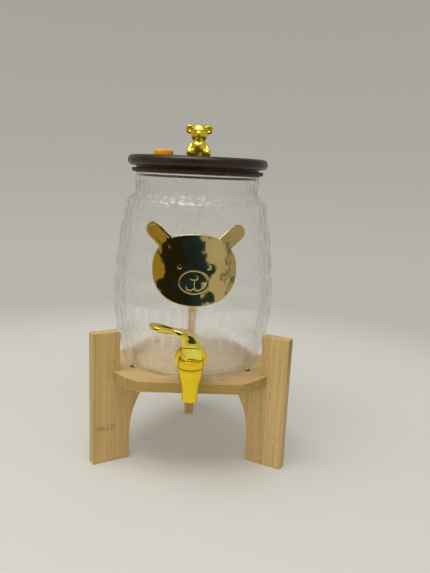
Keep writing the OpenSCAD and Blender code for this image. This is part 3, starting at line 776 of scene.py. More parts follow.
TAPE_FOAM = SoftSilicone("tape_foam", "#cfcdc4", "#dedcd4", rough=(0.7, 0.7))
SCREW_STEEL = DrawnSteel("blackened_steel", "#2a2622", "#171412", rough=(0.6, 0.6))
VALVE_STEEL = DrawnSteel("bright_steel")


def dress(piece: Piece, finish: Finish) -> None:
    """Give a piece one finish, in place of any that it came with."""
    piece.data.materials.clear()
    piece.data.materials.append(finish.material())


def fit(piece: Piece, finish: Finish, body: str, node: str) -> None:
    """Dress a new piece and put it in the place of a solid.

    Args:
        piece: the new piece.
        finish: its finish.
        body: body that it moves with.
        node: solid that it stands for.
    """
    dress(piece, finish)
    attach(piece, body)
    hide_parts(node)
    LOG.info("%s stands for %s on %s, %d faces", piece.name, node, body, len(piece.data.polygons))


# Sub-assemblies


@dataclass
class Board:
    """Flat board with eased edges. Its outline is measured across and along the grain.

    Attributes:
        name: name of the piece.
        outline: points across and along the grain, in order.
        span: where the two faces lie.
        across: direction across the grain.
        along: direction of the grain.
        through: direction through the board.
        marks: place of a glue line across the grain, and of a knuckle along it.
        drills: tools that are taken out.
        ease: rounding of the edges.
        ease_above: angle in degrees above which an edge is rounded.
    """

    name: str
    outline: np.ndarray
    span: Pair
    across: np.ndarray
    along: np.ndarray
    through: np.ndarray
    marks: Pair
    drills: list[Patch]
    ease: float = 0.8
    ease_above: float = 40.0

    def build(self) -> Piece:
        """Carry the outline straight through the board: across u + along v + through t.

        Returns:
            The board.
        """
        flat = self.outline @ np.stack([self.across, self.along])
        points = np.concatenate([flat + t * self.through for t in self.span])
        near = np.arange(len(flat))
        far = np.roll(near, -1)
        sides = np.stack([near, far, far + len(flat), near + len(flat)], axis=1)
        faces = [near.tolist(), (near + len(flat)).tolist(), *sides.tolist()]
        board = mesh_piece(self.name, points, faces, CREASE)
        cut(board, self.drills)
        self.lay_grain(board)
        ease = board.modifiers.new("eased edges", "BEVEL")
        ease.width, ease.segments = self.ease * MM, 3
        ease.limit_method, ease.angle_limit = "ANGLE", math.radians(self.ease_above)
        ease.harden_normals = True
        return board

    def lay_grain(self, board: Piece) -> None:
        """Write two maps in metres: the place across and along the grain, and the depth.

        Args:
            board: the finished board.
        """
        mesh = board.data
        corner = np.empty(len(mesh.loops), np.int32)
        mesh.loops.foreach_get("vertex_index", corner)
        place = np.empty(len(mesh.vertices) * 3, np.float32)
        mesh.vertices.foreach_get("co", place)
        place = place.reshape(-1, 3)[corner]
        u = place @ self.across - self.marks[0] * MM
        v = place @ self.along - self.marks[1] * MM
        depth = place @ self.through - np.mean(self.span) * MM
        for name, pair in (("face", (u, v)), ("through", (depth, np.zeros_like(depth)))):
            layer = mesh.uv_layers.new(name=name)
            layer.data.foreach_set("uv", np.stack(pair, axis=1).astype(np.float32).ravel())


@dataclass
class BambooStand:
    """Shelf on three legs, each slotted into the shelf's edge."""

    shelf_h: float = 93.0
    shelf_t: float = 10.0
    shelf_r: float = 88.0
    shelf_flat: float = 74.0
    shelf_marks: Pair = (-66.0, 31.0)
    leg_h: float = 132.0
    leg_t: float = 10.0
    leg_out: float = 109.0
    leg_marks: tuple[Pair, ...] = ((86.0, 36.0), (89.0, 160.0), (84.0, 70.0))
    upright_in: float = 81.0
    foot_out: float = 108.0
    foot_in: float = 70.0
    foot_straight: float = 28.0
    ledge_in: float = 49.0
    ledge_nose: float = 4.0
    slot_gap: float = 0.15
    screw_at: float = 64.0
    screw_head_r: float = 4.35
    screw_head_h: float = 2.2
    screw_r: float = 2.15
    screw_len: float = 25.0

    def leg_outline(self) -> np.ndarray:
        """Side view of a leg. The arch is an arc that leaves the inner edge upright.

        Returns:
            Points out from the axis and up.
        """
        under = self.shelf_h - self.shelf_t
        wide = self.foot_in - self.ledge_in
        high = under - self.ledge_nose - self.foot_straight
        radius = (wide * wide + high * high) / (2 * wide)
        top = math.degrees(math.asin(high / radius))
        arch = arc((self.foot_in - radius, self.foot_straight), radius, top, 0, 32)
        upper = [(self.foot_out, 0), (self.leg_out, self.leg_h), (self.upright_in, self.leg_h),
                 (self.upright_in, under), (self.ledge_in, under)]
        return np.concatenate([upper, arch, [(self.foot_in, 0)]])

    def shelf_outline(self) -> np.ndarray:
        """Plan of the shelf: three arcs with a slot in each, joined by straight edges.

        Returns:
            Points along y and x.
        """
        half = 60 - math.degrees(math.acos(self.shelf_flat / self.shelf_r))
        slot_half, slot_in = self.leg_t / 2 + self.slot_gap, self.upright_in - self.slot_gap
        slot_turn = math.degrees(math.asin(slot_half / self.shelf_r))
        corner = np.concatenate([
            arc((0, 0), self.shelf_r, -half, -slot_turn, 14),
            [(slot_in, -slot_half), (slot_in, slot_half)],
            arc((0, 0), self.shelf_r, slot_turn, half, 14),
        ])
        places = sorted(LegPlace, key=lambda place: place.value)
        return np.concatenate([corner @ place.axes()[:, [1, 0]] for place in places])

    def countersink(self, place: LegPlace) -> Patch:
        """Drill with a cone for the screw's head: its half section, turned.

        Args:
            place: leg that the screw holds.

        Returns:
            The tool.
        """
        tip, top = self.shelf_h - self.screw_len - 1, self.shelf_h + PAST
        profile = [(0, tip), (self.screw_r, tip), (self.screw_r, self.shelf_h - self.screw_head_h),
                   (self.screw_head_r, self.shelf_h), (self.screw_head_r, top), (0, top)]
        return turned(profile, 48, tuple(self.screw_at * place.axes()[0]))

    def build(self) -> None:
        """Make the shelf and the legs, with their own glue lines and knuckles."""
        drills = {place: self.countersink(place) for place in LegPlace}
        shelf = Board(
            "bamboo_shelf", self.shelf_outline(), (self.shelf_h - self.shelf_t, self.shelf_h),
            Y_AXIS, X_AXIS, Z_AXIS, self.shelf_marks, list(drills.values()))
        fit(shelf.build(), SHELF_BAMBOO, "stand", "shelf_board")
        half = self.leg_t / 2
        for place, marks in zip(LegPlace, self.leg_marks):
            side = place.name.lower()
            out, across = place.axes()
            leg = Board(f"bamboo_leg_{side}", self.leg_outline(), (-half, half), out, Z_AXIS,
                        across, marks, [drills[place]])
            fit(leg.build(), BAMBOO, "stand", f"leg_{side}")
        dress(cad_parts["stand_screws"], SCREW_STEEL)


@dataclass
class GlassJar:
    """Barrel jar with tiers of pressed pillows, a plain neck and a thick base."""

    foot_z: float = 93.0
    rim_z: float = 282.0
    belly_r: float = 79.8
    belly_z: float = 159.0
    upper_r: float = 419.44
    lower_r: float = 186.1
    shoulder_z: float = 254.0
    neck_z: float = 264.6
    neck_r: float = 61.0
    heel_z: float = 100.0
    foot_r: float = 61.5
    punt_h: float = 1.5
    wall: float = 3.0
    tier_start_z: float = 109.0
    tier_h: float = 25.6
    tier_depth: float = 1.0
    pillows: int = 44
    pillow_steps: int = 8
    pillow_depth: float = 0.4
    shoulder_press: float = 1.6
    hole_r: float = 7.95
    tap_z: float = 119.0
    crease: float = 50.0

    def barrel(self, z: np.ndarray | float) -> np.ndarray:
        """Radius of the smooth barrel: two arcs that meet upright at the belly."""
        bow = np.where(z > self.belly_z, self.upper_r, self.lower_r)
        return self.belly_r - bow + np.sqrt(bow**2 - (z - self.belly_z) ** 2)

    def tier_dip(self, z: np.ndarray) -> np.ndarray:
        """0 at the middle of a tier and 1 at the tier lines, as a parabola."""
        share = (z - self.tier_start_z) / self.tier_h
        return (2 * (share - np.floor(share)) - 1) ** 2

    def profile(self) -> tuple[np.ndarray, np.ndarray]:
        """Half section of the jar, from the middle of the base round the outside and in.

        The inside is the smooth outside moved along its normals by the wall's thickness.

        Returns:
            Radius and height of each point, and the share of the pillows that it carries.
        """
        turn = np.radians(np.linspace(0, 90, 13))
        heel_r, shoulder_r = float(self.barrel(self.heel_z)), float(self.barrel(self.shoulder_z))
        heel = np.stack([self.foot_r + (heel_r - self.foot_r) * np.sin(turn),
                         self.heel_z - (self.heel_z - self.foot_z) * np.cos(turn)], axis=1)
        z = np.linspace(self.heel_z, self.shoulder_z, 85)[1:]
        body = np.stack([self.barrel(z), z], axis=1)
        fall = np.linspace(0, 1, 15)[1:]
        ease = (1 + np.cos(np.pi * fall)) / 2
        throat = np.stack([self.neck_r + (shoulder_r - self.neck_r) * ease,
                           self.shoulder_z + (self.neck_z - self.shoulder_z) * fall], axis=1)
        smooth = np.concatenate([heel, body, throat])
        way = np.gradient(smooth, axis=0)
        inward = np.stack([-way[:, 1], way[:, 0]], axis=1)
        inward /= np.linalg.norm(way, axis=1, keepdims=True)
        inside = (smooth + self.wall * inward)[::-1][::3]
        outside = smooth.copy()
        outside[:, 0] -= np.where(
            smooth[:, 1] > self.heel_z, self.tier_depth * self.tier_dip(smooth[:, 1]), 0)

        half = self.wall / 2
        lip = arc((self.neck_r - half, self.rim_z - half), half, 0, 180, 12)
        r, z = self.foot_r - 2 * self.wall, self.foot_z + self.punt_h
        base = [(0, z), (r - 4, z), (r - 2, z - 0.3), (r, self.foot_z)]
        z += self.wall + 0.5
        floor = [(r - 1, z - 1.1), (r - 3, z - 0.3), (r - 6, z), (0, z)]
        section = np.concatenate([base, outside, lip, inside, floor])
        height = section[:, 1]
        pressed = smooth_step(height, self.heel_z, self.heel_z + 20) * (
            1 - smooth_step(height, self.neck_z - 1, self.neck_z + 4))
        return section, pressed * (np.arange(len(section)) < len(base) + len(outside))

    def build(self) -> None:
        """Turn the section and press the pillows: the radius dips by depth (2 p - 1)^2 (1 - t^2).

        p runs from 0 to 1 across a pillow, so that neighbours meet in a crease, and t is the
        tier's own dip, so that a pillow ends at the tier lines, apart from the last, which runs up
        to the neck. Each tier is half a pillow round from the one below it. The depth grows
        towards the shoulder.
        """
        section, carried = self.profile()
        skin = turned(section, self.pillows * self.pillow_steps)
        radius, height = np.maximum(section[:, :1], 1e-9), section[:, 1:]
        angle = np.arctan2(skin.points[..., 1], skin.points[..., 0])
        tier = np.floor((height - self.tier_start_z) / self.tier_h)
        share = angle * self.pillows / (2 * np.pi) + 0.5 * (1 + tier)
        ends = np.where(height < self.shoulder_z - 10, self.tier_dip(height) ** 2, 0)
        deeper = smooth_step(height, self.shoulder_z - 14, self.shoulder_z - 2)
        depth = self.pillow_depth * (1 + self.shoulder_press * deeper)
        dip = depth * (2 * (share - np.floor(share)) - 1) ** 2 * carried[:, None] * (1 - ends)
        skin.points[..., :2] *= ((radius - dip) / radius)[..., None]
        jar = surface_piece("fluted_jar", [skin], self.crease)
        y = -float(self.barrel(self.tap_z))
        cut(jar, [rod(self.hole_r, (0, y - 4, self.tap_z), (0, y + 9, self.tap_z))], self.crease)
        fit(jar, GLASS, "jar", "glass_jar")
        # Glass throws next to no shadow in soft light
        jar.visible_shadow = False


@dataclass
class MirrorPlaque:
    """Thin mirror sheet cut to a plain bear's head, pressed with a simple face and bent."""

    mid_z: float = 199.0
    width: float = 75.0
    height: float = 63.0
    power: float = 2.3
    ear_r: float = 7.1
    ear_out: float = 37.0
    ear_up: float = 33.6
    ear_line: float = 2.4
    cone_r: float = 78.688
    cone_slope: float = -0.096
    thick: float = 1.0
    edge: float = 0.6
    relief: float = 0.3
    line: float = 0.5
    muzzle: Point = (-10.0, 13.0, 10.0)
    mouth: Pair = (-13.5, -8.0)
    smile_r: float = 3.4
    nose: Point = (-6.0, 3.8, 2.6)
    eye: Point = (13.0, 3.0, 2.1)
    far: float = 9.0

    def reach(self, angle: np.ndarray) -> np.ndarray:
        """Distance from the middle to the outline: the larger of an oval and two straps.

        A strap of half width r with a round end at l is r / |sin f| long at f from its axis, up to
        its round end.

        Args:
            angle: directions from the middle.

        Returns:
            The distance in each direction.
        """
        cos, sin = np.cos(angle), np.sin(angle)
        oval = (np.abs(cos) * 2 / self.width) ** self.power
        oval += (np.abs(sin) * 2 / self.height) ** self.power
        found = oval ** (-1 / self.power)
        tip = math.hypot(self.ear_out, self.ear_up)
        for side in (-1, 1):
            near = (cos * side * self.ear_out + sin * self.ear_up) / tip
            off = np.abs(cos * self.ear_up - sin * side * self.ear_out) / tip
            strap = self.ear_r / np.maximum(off, 1e-6)
            end = tip * near + np.sqrt(np.maximum(self.ear_r**2 - (tip * off) ** 2, 0))
            ear = np.where(strap * near <= tip, strap, end)
            found = np.maximum(found, np.where(near > 0, ear, 0))
        return found

    def depths(self, x: np.ndarray, y: np.ndarray) -> tuple[np.ndarray, np.ndarray]:
        """How far inside the oval and the ears points lie.

        The oval's is (1 - f) / |slope of f|, where f is 1 on the outline. An ear's is its radius
        less the distance from its axis.

        Args:
            x: places across the head.
            y: places up the head.

        Returns:
            The depth in the oval and in the nearer ear, negative outside.
        """
        u, v = np.abs(x) * 2 / self.width, np.abs(y) * 2 / self.height
        slope = self.power * np.hypot(
            u ** (self.power - 1) * 2 / self.width, v ** (self.power - 1) * 2 / self.height)
        head = (1 - u**self.power - v**self.power) / np.maximum(slope, 1e-3)
        tip = math.hypot(self.ear_out, self.ear_up)
        out, up = self.ear_out / tip, self.ear_up / tip
        along = np.clip(np.abs(x) * out + y * up, 0, tip)
        return head, self.ear_r - np.hypot(np.abs(x) - along * out, y - along * up)

    def face(self, x: np.ndarray, y: np.ndarray) -> np.ndarray:
        """Pressed lines and domes of a plain face: a line is exp(-(d / half width)^2).

        d is the distance from the line's curve.

        Args:
            x: places across the head.
            y: places up the head.

        Returns:
            Share of the relief's full height.
        """
        head, ear = self.depths(x, y)
        low, high = self.mouth
        level, wide, tall = self.muzzle
        muzzle = (np.hypot(x / wide, (y - level) / tall) - 1) * (wide + tall - 1) / 2
        mouth = np.where((y > low) & (y < high), np.abs(x), self.far)
        smile = np.abs(np.hypot(np.abs(x) - self.smile_r, y - low) - self.smile_r)
        smile = np.where(y < low, smile, self.far)
        in_ear = np.where(head < -1, ear - self.ear_line, self.far)
        lines = np.min([np.abs(muzzle), mouth, smile, np.abs(in_ear)], axis=0)
        level, wide, tall = self.nose
        nose = 1 - (x / wide) ** 2 - ((y - level) / tall) ** 2
        apart, level, radius = self.eye
        eyes = 1 - ((np.abs(x) - apart) ** 2 + (y - level) ** 2) / radius**2
        domes = np.sqrt(np.clip(np.maximum(nose, eyes), 0, 1))
        return np.maximum(np.exp(-((lines / self.line) ** 2)), domes)

    def build(self) -> None:
        """Polar grid on the cut sheet, carried on to the cone: y = -sqrt((cone(z) + t)^2 - x^2).

        t is the sheet's thickness, plus the relief on the front and less the rounding at the cut
        edge. The directions lie closer together along the straps' sides.
        """
        axis = math.degrees(math.atan2(self.ear_up, self.ear_out))
        beside = np.concatenate([np.linspace(7, 13, 40), np.linspace(-13, -7, 40)])
        turns = np.concatenate([np.arange(0, 360, 0.75), axis + beside, 180 - axis + beside])
        angle = np.radians(np.unique(turns))[None, :]
        front = np.concatenate([np.linspace(0, 0.95, 100), np.linspace(0.95, 1, 14)[1:]])
        share = np.concatenate([front, np.linspace(1, 0, 12)])[:, None]
        reach = share * self.reach(angle)
        x, y = reach * np.cos(angle), reach * np.sin(angle)
        inside = np.clip(np.maximum(*self.depths(x, y)) / self.edge, 0, 1)
        rounding = self.edge * (1 - np.sqrt(1 - (1 - inside) ** 2))
        out = self.thick + self.relief * self.face(x, y) - rounding
        out[len(front):] = 0
        cone = self.cone_r + self.cone_slope * y + out
        points = np.stack([x, -np.sqrt(cone**2 - x**2), self.mid_z + y], axis=-1)
        plaque = surface_piece("mirror_plaque", [Patch(points)], crease=60.0)
        fit(plaque, MIRROR_GOLD, "jar", "front_plaque")
        dress(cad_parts["plaque_tape"], TAPE_FOAM)


@dataclass
class LeverTap:
    """Tap with its flange, threaded shank, valve housing and spout."""

    axis_y: float = -96.2505
    shank_z: float = 119.0
    flange_y: float = -78.45
    flange_t: float = 3.2
    flange_r: float = 14.5
    neck_r: float = 4.6
    neck_bore_r: float = 2.8
    shank_r: float = 7.8
    shank_bore_r: float = 4.4
    shank_end_y: float = -59.45
    thread_pitch: float = 1.8
    thread_depth: float = 0.55
    thread_start: float = 2.5
    thread_end: float = 0.6
    housing_r: float = 11.6
    housing_top: float = 124.0
    top_dish: float = 0.5
    cam_seat_r: float = 9.0
    cam_z: float = 125.4
    seam_z: float = 117.0
    seam_gap: float = 0.3
    seam_round: float = 0.7
    spigot_z: float = 112.0
    spigot_r: float = 8.6
    spigot_gap: float = 0.15
    chamber_r: float = 7.0
    chamber_top: float = 122.0
    stem_hole_r: float = 3.2
    seal_groove_r: float = 4.3
    seal_half: float = 0.65
    spout_z: float = 85.5
    spout_r: float = 7.3
    spout_top_r: float = 11.35
    taper: Pair = (0.09, 0.79)
    outlet_r: float = 5.4
    seat_z: float = 107.0
    seat_t: float = 2.5
    seat_hole_r: float = 4.0
    spring_r: float = 4.3
    spring_wire: float = 0.7
    spring_turns: int = 5
    stem_lift: float = 2.4
    steps: int = 128

    def housing(self) -> Patch:
        """Valve housing: its half section, with the bores for valve and stem, turned.

        Returns:
            The surface.
        """
        hole, groove = self.stem_hole_r, self.seal_groove_r
        seal_z = (self.chamber_top + self.cam_z) / 2
        low, high = seal_z - self.seal_half, seal_z + self.seal_half
        section = rounded(
            (self.chamber_r, self.spigot_z), (self.spigot_r, self.spigot_z),
            (self.spigot_r, self.seam_z), (self.housing_r, self.seam_z, self.seam_round, 5),
            (self.housing_r, self.housing_top, 0.3, 8),
            (self.cam_seat_r, self.housing_top - self.top_dish, 0.1, 4),
            (self.cam_seat_r, self.cam_z, 0.2, 5), (hole, self.cam_z), (hole, high),
            (groove, high), (groove, low), (hole, low), (hole, self.chamber_top),
            (self.chamber_r, self.chamber_top))
        return turned(section, self.steps, (0, self.axis_y, 0), ring=True)

    def flange(self) -> Patch:
        """Neck, flange and the bored shank behind them: their half section, turned.

        Returns:
            The surface.
        """
        front = self.flange_y - self.flange_t
        start = self.axis_y + (self.housing_r + self.chamber_r) / 2
        bore, bore_end = self.neck_bore_r, front + self.flange_t / 2
        core = self.shank_r - self.thread_depth
        section = rounded(
            (bore, start), (self.neck_r, start), (self.neck_r, front, 0.8, 5),
            (self.flange_r, front, 1.1, 7), (self.flange_r, self.flange_y, 0.4, 4),
            (core, self.flange_y), (core, self.shank_end_y), (self.shank_bore_r, self.shank_end_y),
            (self.shank_bore_r, bore_end), (bore, bore_end))
        return turned(section, self.steps, (0, 0, self.shank_z), (0, 1, 0), ring=True)

    def thread(self) -> Patch:
        """Screw thread: the radius is a triangle wave of the turn plus the travel in pitches.

        Returns:
            The surface.
        """
        end = self.shank_end_y - self.thread_end
        run = np.arange(self.flange_y + self.thread_start, end, self.thread_pitch / 8)
        angle = np.linspace(0, 2 * np.pi, 96, endpoint=False)
        turn = run[:, None] / self.thread_pitch + angle[None, :] / (2 * np.pi)
        wave = np.abs(2 * (turn - np.floor(turn)) - 1)
        fade = smooth_step(end - run, 0, 2)[:, None]
        radius = self.shank_r - self.thread_depth * (1 - wave * fade)
        radius = np.pad(radius, ((1, 1), (0, 0)),
                        constant_values=self.shank_r - self.thread_depth - 0.4)
        along = np.broadcast_to(np.pad(run, 1, mode="edge")[:, None], radius.shape)
        points = [radius * np.cos(angle), along, self.shank_z + radius * np.sin(angle)]
        return Patch(np.stack(points, axis=-1))

    def spout(self) -> Patch:
        """Spout: the outside narrows along half a cosine wave, with a scallop for the neck.

        Returns:
            The surface.
        """
        top_z, length = self.seam_z - self.seam_gap, self.seam_z - self.spout_z
        fall = np.linspace(0, 1, 25)
        ease = (1 + np.cos(np.pi * fall)) / 2
        start, end = self.taper
        taper = np.stack([self.spout_r + (self.spout_top_r - self.spout_r) * ease,
                          self.seam_z - length * (start + (end - start) * fall)], axis=1)
        socket_r, socket_z = self.spigot_r + self.spigot_gap, self.spigot_z - self.seam_gap
        under = self.seat_z - self.seat_t
        section = rounded(
            (socket_r, top_z), (self.spout_top_r, top_z, self.seam_round, 5), *taper,
            (self.spout_r, self.spout_z, 0.8, 6), (self.outlet_r, self.spout_z, 0.4, 4),
            (self.outlet_r, under), (self.seat_hole_r, under), (self.seat_hole_r, self.seat_z),
            (self.chamber_r, self.seat_z), (self.chamber_r, socket_z), (socket_r, socket_z))
        skin = turned(section, self.steps, (0, self.axis_y, 0), ring=True)
        x, y, z = np.moveaxis(skin.points, -1, 0)
        bite = (self.neck_r + self.seam_gap) ** 2 - x**2
        ceiling = self.shank_z - np.sqrt(np.maximum(bite, 0))
        behind = (y > self.axis_y) & (bite > 0)
        skin.points[..., 2] = np.where(behind, np.minimum(z, ceiling), z)
        return skin

    def spring(self, low: float, high: float) -> Patch:
        """Return spring: r = coil + wire cos a and z = low + rise t + wire sin a along a helix.

        Args:
            low: height of its lower end.
            high: height of its upper end.

        Returns:
            The surface.
        """
        half = self.spring_wire / 2
        share = np.linspace(0, 1, 40 * self.spring_turns + 1)[:, None]
        turn = 2 * np.pi * self.spring_turns * share
        angle = np.linspace(0, 2 * np.pi, 16, endpoint=False)
        thick = np.where((share > 0) & (share < 1), half, 0)
        radius = self.spring_r + thick * np.cos(angle)
        rise = low + half + (high - low - 2 * half) * share + thick * np.sin(angle)
        points = [radius * np.cos(turn), self.axis_y + radius * np.sin(turn), rise]
        return Patch(np.stack(points, axis=-1))

    def build(self) -> None:
        """Make the plated pieces and the spring, and dress the valve's solids."""
        body = surface_piece(
            "plated_tap_body", [self.housing(), self.flange(), self.thread()], crease=20.0)
        fit(body, TAP_GOLD, "jar", "tap_body")
        spout = surface_piece("plated_spout", [self.spout()])
        fit(spout, TAP_GOLD, "jar", "tap_spout")
        low, high = (corner.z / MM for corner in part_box("tap_spring"))
        spring = surface_piece("coiled_wire", [self.spring(low, high)])
        fit(spring, VALVE_STEEL, "jar", "tap_spring")
        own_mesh(spring)
        for finish, nodes in (
            (CLEAR_RUBBER, ("outer_washer", "inner_washer", "tap_stopper")),
            (NUT_PLASTIC, ("shank_nut",)), (SEAL_RUBBER, ("stem_seal",)),
            (VALVE_STEEL, ("tap_stem", "lever_pin")),
        ):
            for node in nodes:
                dress(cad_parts[node], finish)


@dataclass
class TapLever:
    """Lever in one casting: a square foot, a bend over it, and a thumb arm that points to -X."""

    axis_y: float = -96.2505
    foot_z: float = 125.5
    foot_near: float = 8.5
    foot_far: float = 9.7
    foot_round: float = 3.0
    foot_side_h: float = 8.0
    bend_r: float = 19.5
    bend_start: float = 12.0
    bend_mid: float = 48.0
    arm_rise: float = 10.6
    arm_t: float = 3.4
    length: float = 37.0
    foot_w: float = 14.0
    thumb_w: float = 16.0
    inner_round: float = 5.0
    corner: float = 1.1
    corner_share: float = 0.48
    dish_depth: float = 1.5
    dish_from: Pair = (10.0, 22.0)
    dish_end: Pair = (9.0, 1.0)
    dish_rim: float = 1.2
    belly: float = 2.8
    waist: float = 2.6
    waist_len: float = 7.0
    waist_end: float = 16.0
    groove_up: float = 9.6
    groove_h: float = 1.3
    groove_deep: float = 0.9
    groove_share: float = 0.7
    pin_h: float = 5.0
    pin_hole_r: float = 1.075
    pin_front: float = 5.9
    slot_half: float = 3.2
    slot_near: float = 6.1
    slot_far: float = 5.0
    slot_h: float = 9.5
    crease: float = 50.0

    def edges(self) -> tuple[np.ndarray, np.ndarray]:
        """Side view of the lever as two lines, from the foot to the thumb end.

        Returns:
            Points along the outer and the inner edge, x and height, station by station.
        """
        rise, tip = math.radians(self.arm_rise), math.radians(self.bend_start)
        bend_end = 90 - self.arm_rise
        bend = (self.foot_far - self.bend_r * math.cos(tip),
                self.foot_side_h - self.bend_r * math.sin(tip))
        start = arc(bend, self.bend_r, bend_end, bend_end, 0)[0]
        drop = self.arm_t / math.cos(rise)
        lean = drop * math.sin(rise) * math.cos(rise)
        thumb_x = -self.length + self.thumb_w / 2
        near_x, foot = -self.foot_near, self.foot_round
        neck_x = near_x - self.inner_round

        def arm(x: np.ndarray) -> np.ndarray:
            """Points of the arm's upper face at these places."""
            return np.stack([x, start[1] + (start[0] - x) * math.tan(rise)], axis=-1)

        neck_z = arm(neck_x)[1] - drop - self.inner_round
        swing = np.sin(np.radians(np.linspace(0, 90, 15)))[1:]
        reach = np.concatenate([
            np.linspace(neck_x, thumb_x, 18)[1:], thumb_x - self.thumb_w / 2 * swing])
        outer = np.concatenate([
            np.linspace((self.foot_far, 0), (self.foot_far, foot), 9),
            np.linspace((self.foot_far, foot), (self.foot_far, self.foot_side_h), 7)[1:],
            arc(bend, self.bend_r, self.bend_start, self.bend_mid, 12)[1:],
            arc(bend, self.bend_r, self.bend_mid, bend_end, 10)[1:],
            arm(np.linspace(start[0], neck_x + lean, 5)[1:]),
            arm(reach + lean * np.linspace(1, 0, len(reach))),
        ])
        inner = np.concatenate([
            arc((near_x + foot, foot), foot, 270, 180, 8),
            np.linspace((near_x, foot), (near_x, neck_z), 19)[1:],
            arc((neck_x, neck_z), self.inner_round, 0, 90, 14)[1:],
            arm(reach) - (0, drop),
        ])
        return outer, inner

    def half_width(self, x: np.ndarray) -> np.ndarray:
        """Half the width in plan: the foot's, a waist, then up to a half circle at the end.

        Args:
            x: places along the lever.

        Returns:
            Half the width there.
        """
        thumb_r = self.thumb_w / 2
        thumb_x = -self.length + thumb_r
        arm = np.interp(x, [thumb_x, -self.foot_near], [thumb_r, self.foot_w / 2])
        waist = smooth_step(-x, self.foot_near, self.foot_near + self.waist_len)
        arm -= self.waist * waist * (1 - smooth_step(-x, self.waist_end, -thumb_x))
        end = np.sqrt(np.maximum(thumb_r**2 - (x - thumb_x) ** 2, 0))
        return np.where(x < thumb_x, end, arm)

    def skin(self) -> Patch:
        """Rounded rectangle carried from the foot to the thumb end: middle + e way + y across.

        e and y are each sign (half - corner) + corner cos or sin. The upper face is lowered by the
        dish, depth (1 - (y / w)^2)^2 times a hump along the arm, and the lower face by the same
        with the belly's depth.

        Returns:
            The surface, closed under the foot.
        """
        outer, inner = self.edges()
        middle, way = (outer + inner) / 2, outer - inner
        half = np.linalg.norm(way, axis=1, keepdims=True) / 2
        way /= np.maximum(2 * half, 1e-9)
        wide = self.half_width(middle[:, :1])
        corner = np.minimum(self.corner, self.corner_share * np.minimum(half, wide))
        turn = np.radians(np.linspace(0, 90, 6))
        cos, sin, one = np.cos(turn), np.sin(turn), np.ones(6)
        side, under = np.linspace(1, -1, 7)[1:-1], np.linspace(1, -1, 13)[1:-1]
        rows = [np.stack([cos, sin, one, one]),
                np.stack([0 * side, 0 * side + 1, side, 0 * side + 1]),
                np.stack([-sin, cos, -one, one]),
                np.stack([0 * under - 1, 0 * under, 0 * under - 1, under])]
        rows = np.concatenate(rows, axis=1)
        cos, sin, sign_e, sign_y = np.concatenate([rows, -rows], axis=1)
        e = sign_e * (half - corner) + corner * cos
        y = sign_y * (wide - corner) + corner * sin
        x = middle[:, :1] + e * way[:, :1]
        hump = smooth_step(-x, *self.dish_from) * (
            1 - smooth_step(-x, *(self.length - end for end in self.dish_end)))
        across = np.clip(1 - (y / np.maximum(wide - self.dish_rim, 0.5)) ** 2, 0, 1) ** 2
        e = e - np.where(e > 0, self.dish_depth, self.belly) * hump * across
        x, z = (middle[:, i, None] + e * way[:, i, None] for i in (0, 1))
        skin = np.stack([x, self.axis_y + y, self.foot_z + z], axis=-1)
        sole = np.broadcast_to(skin[0].mean(axis=0), skin[:1].shape)
        return Patch(np.concatenate([sole, skin]))

    def build(self) -> None:
        """Cast the lever, then cut the stem's slot, the pin's hole and the foot's lines."""
        y, z, half = self.axis_y, self.foot_z, self.foot_w / 2
        pin_z, groove_z = z + self.pin_h, z + self.groove_up
        lever = surface_piece("plated_lever", [self.skin()], self.crease)
        tools = [
            block((-self.slot_near, y - self.slot_half, z - PAST),
                  (self.slot_far, y + self.slot_half, z + self.slot_h)),
            rod(self.pin_hole_r, (0, y - self.pin_front, pin_z), (0, y + half + PAST, pin_z), 24),
        ]
        groove_x = self.foot_far * self.groove_share
        tools += [
            block((-self.foot_near - PAST, face - self.groove_deep, groove_z),
                  (groove_x, face + self.groove_deep, groove_z + self.groove_h))
            for face in (y - half, y + half)
        ]
        cut(lever, tools, self.crease)
        fit(lever, LEVER_GOLD, "lever", "tap_lever")


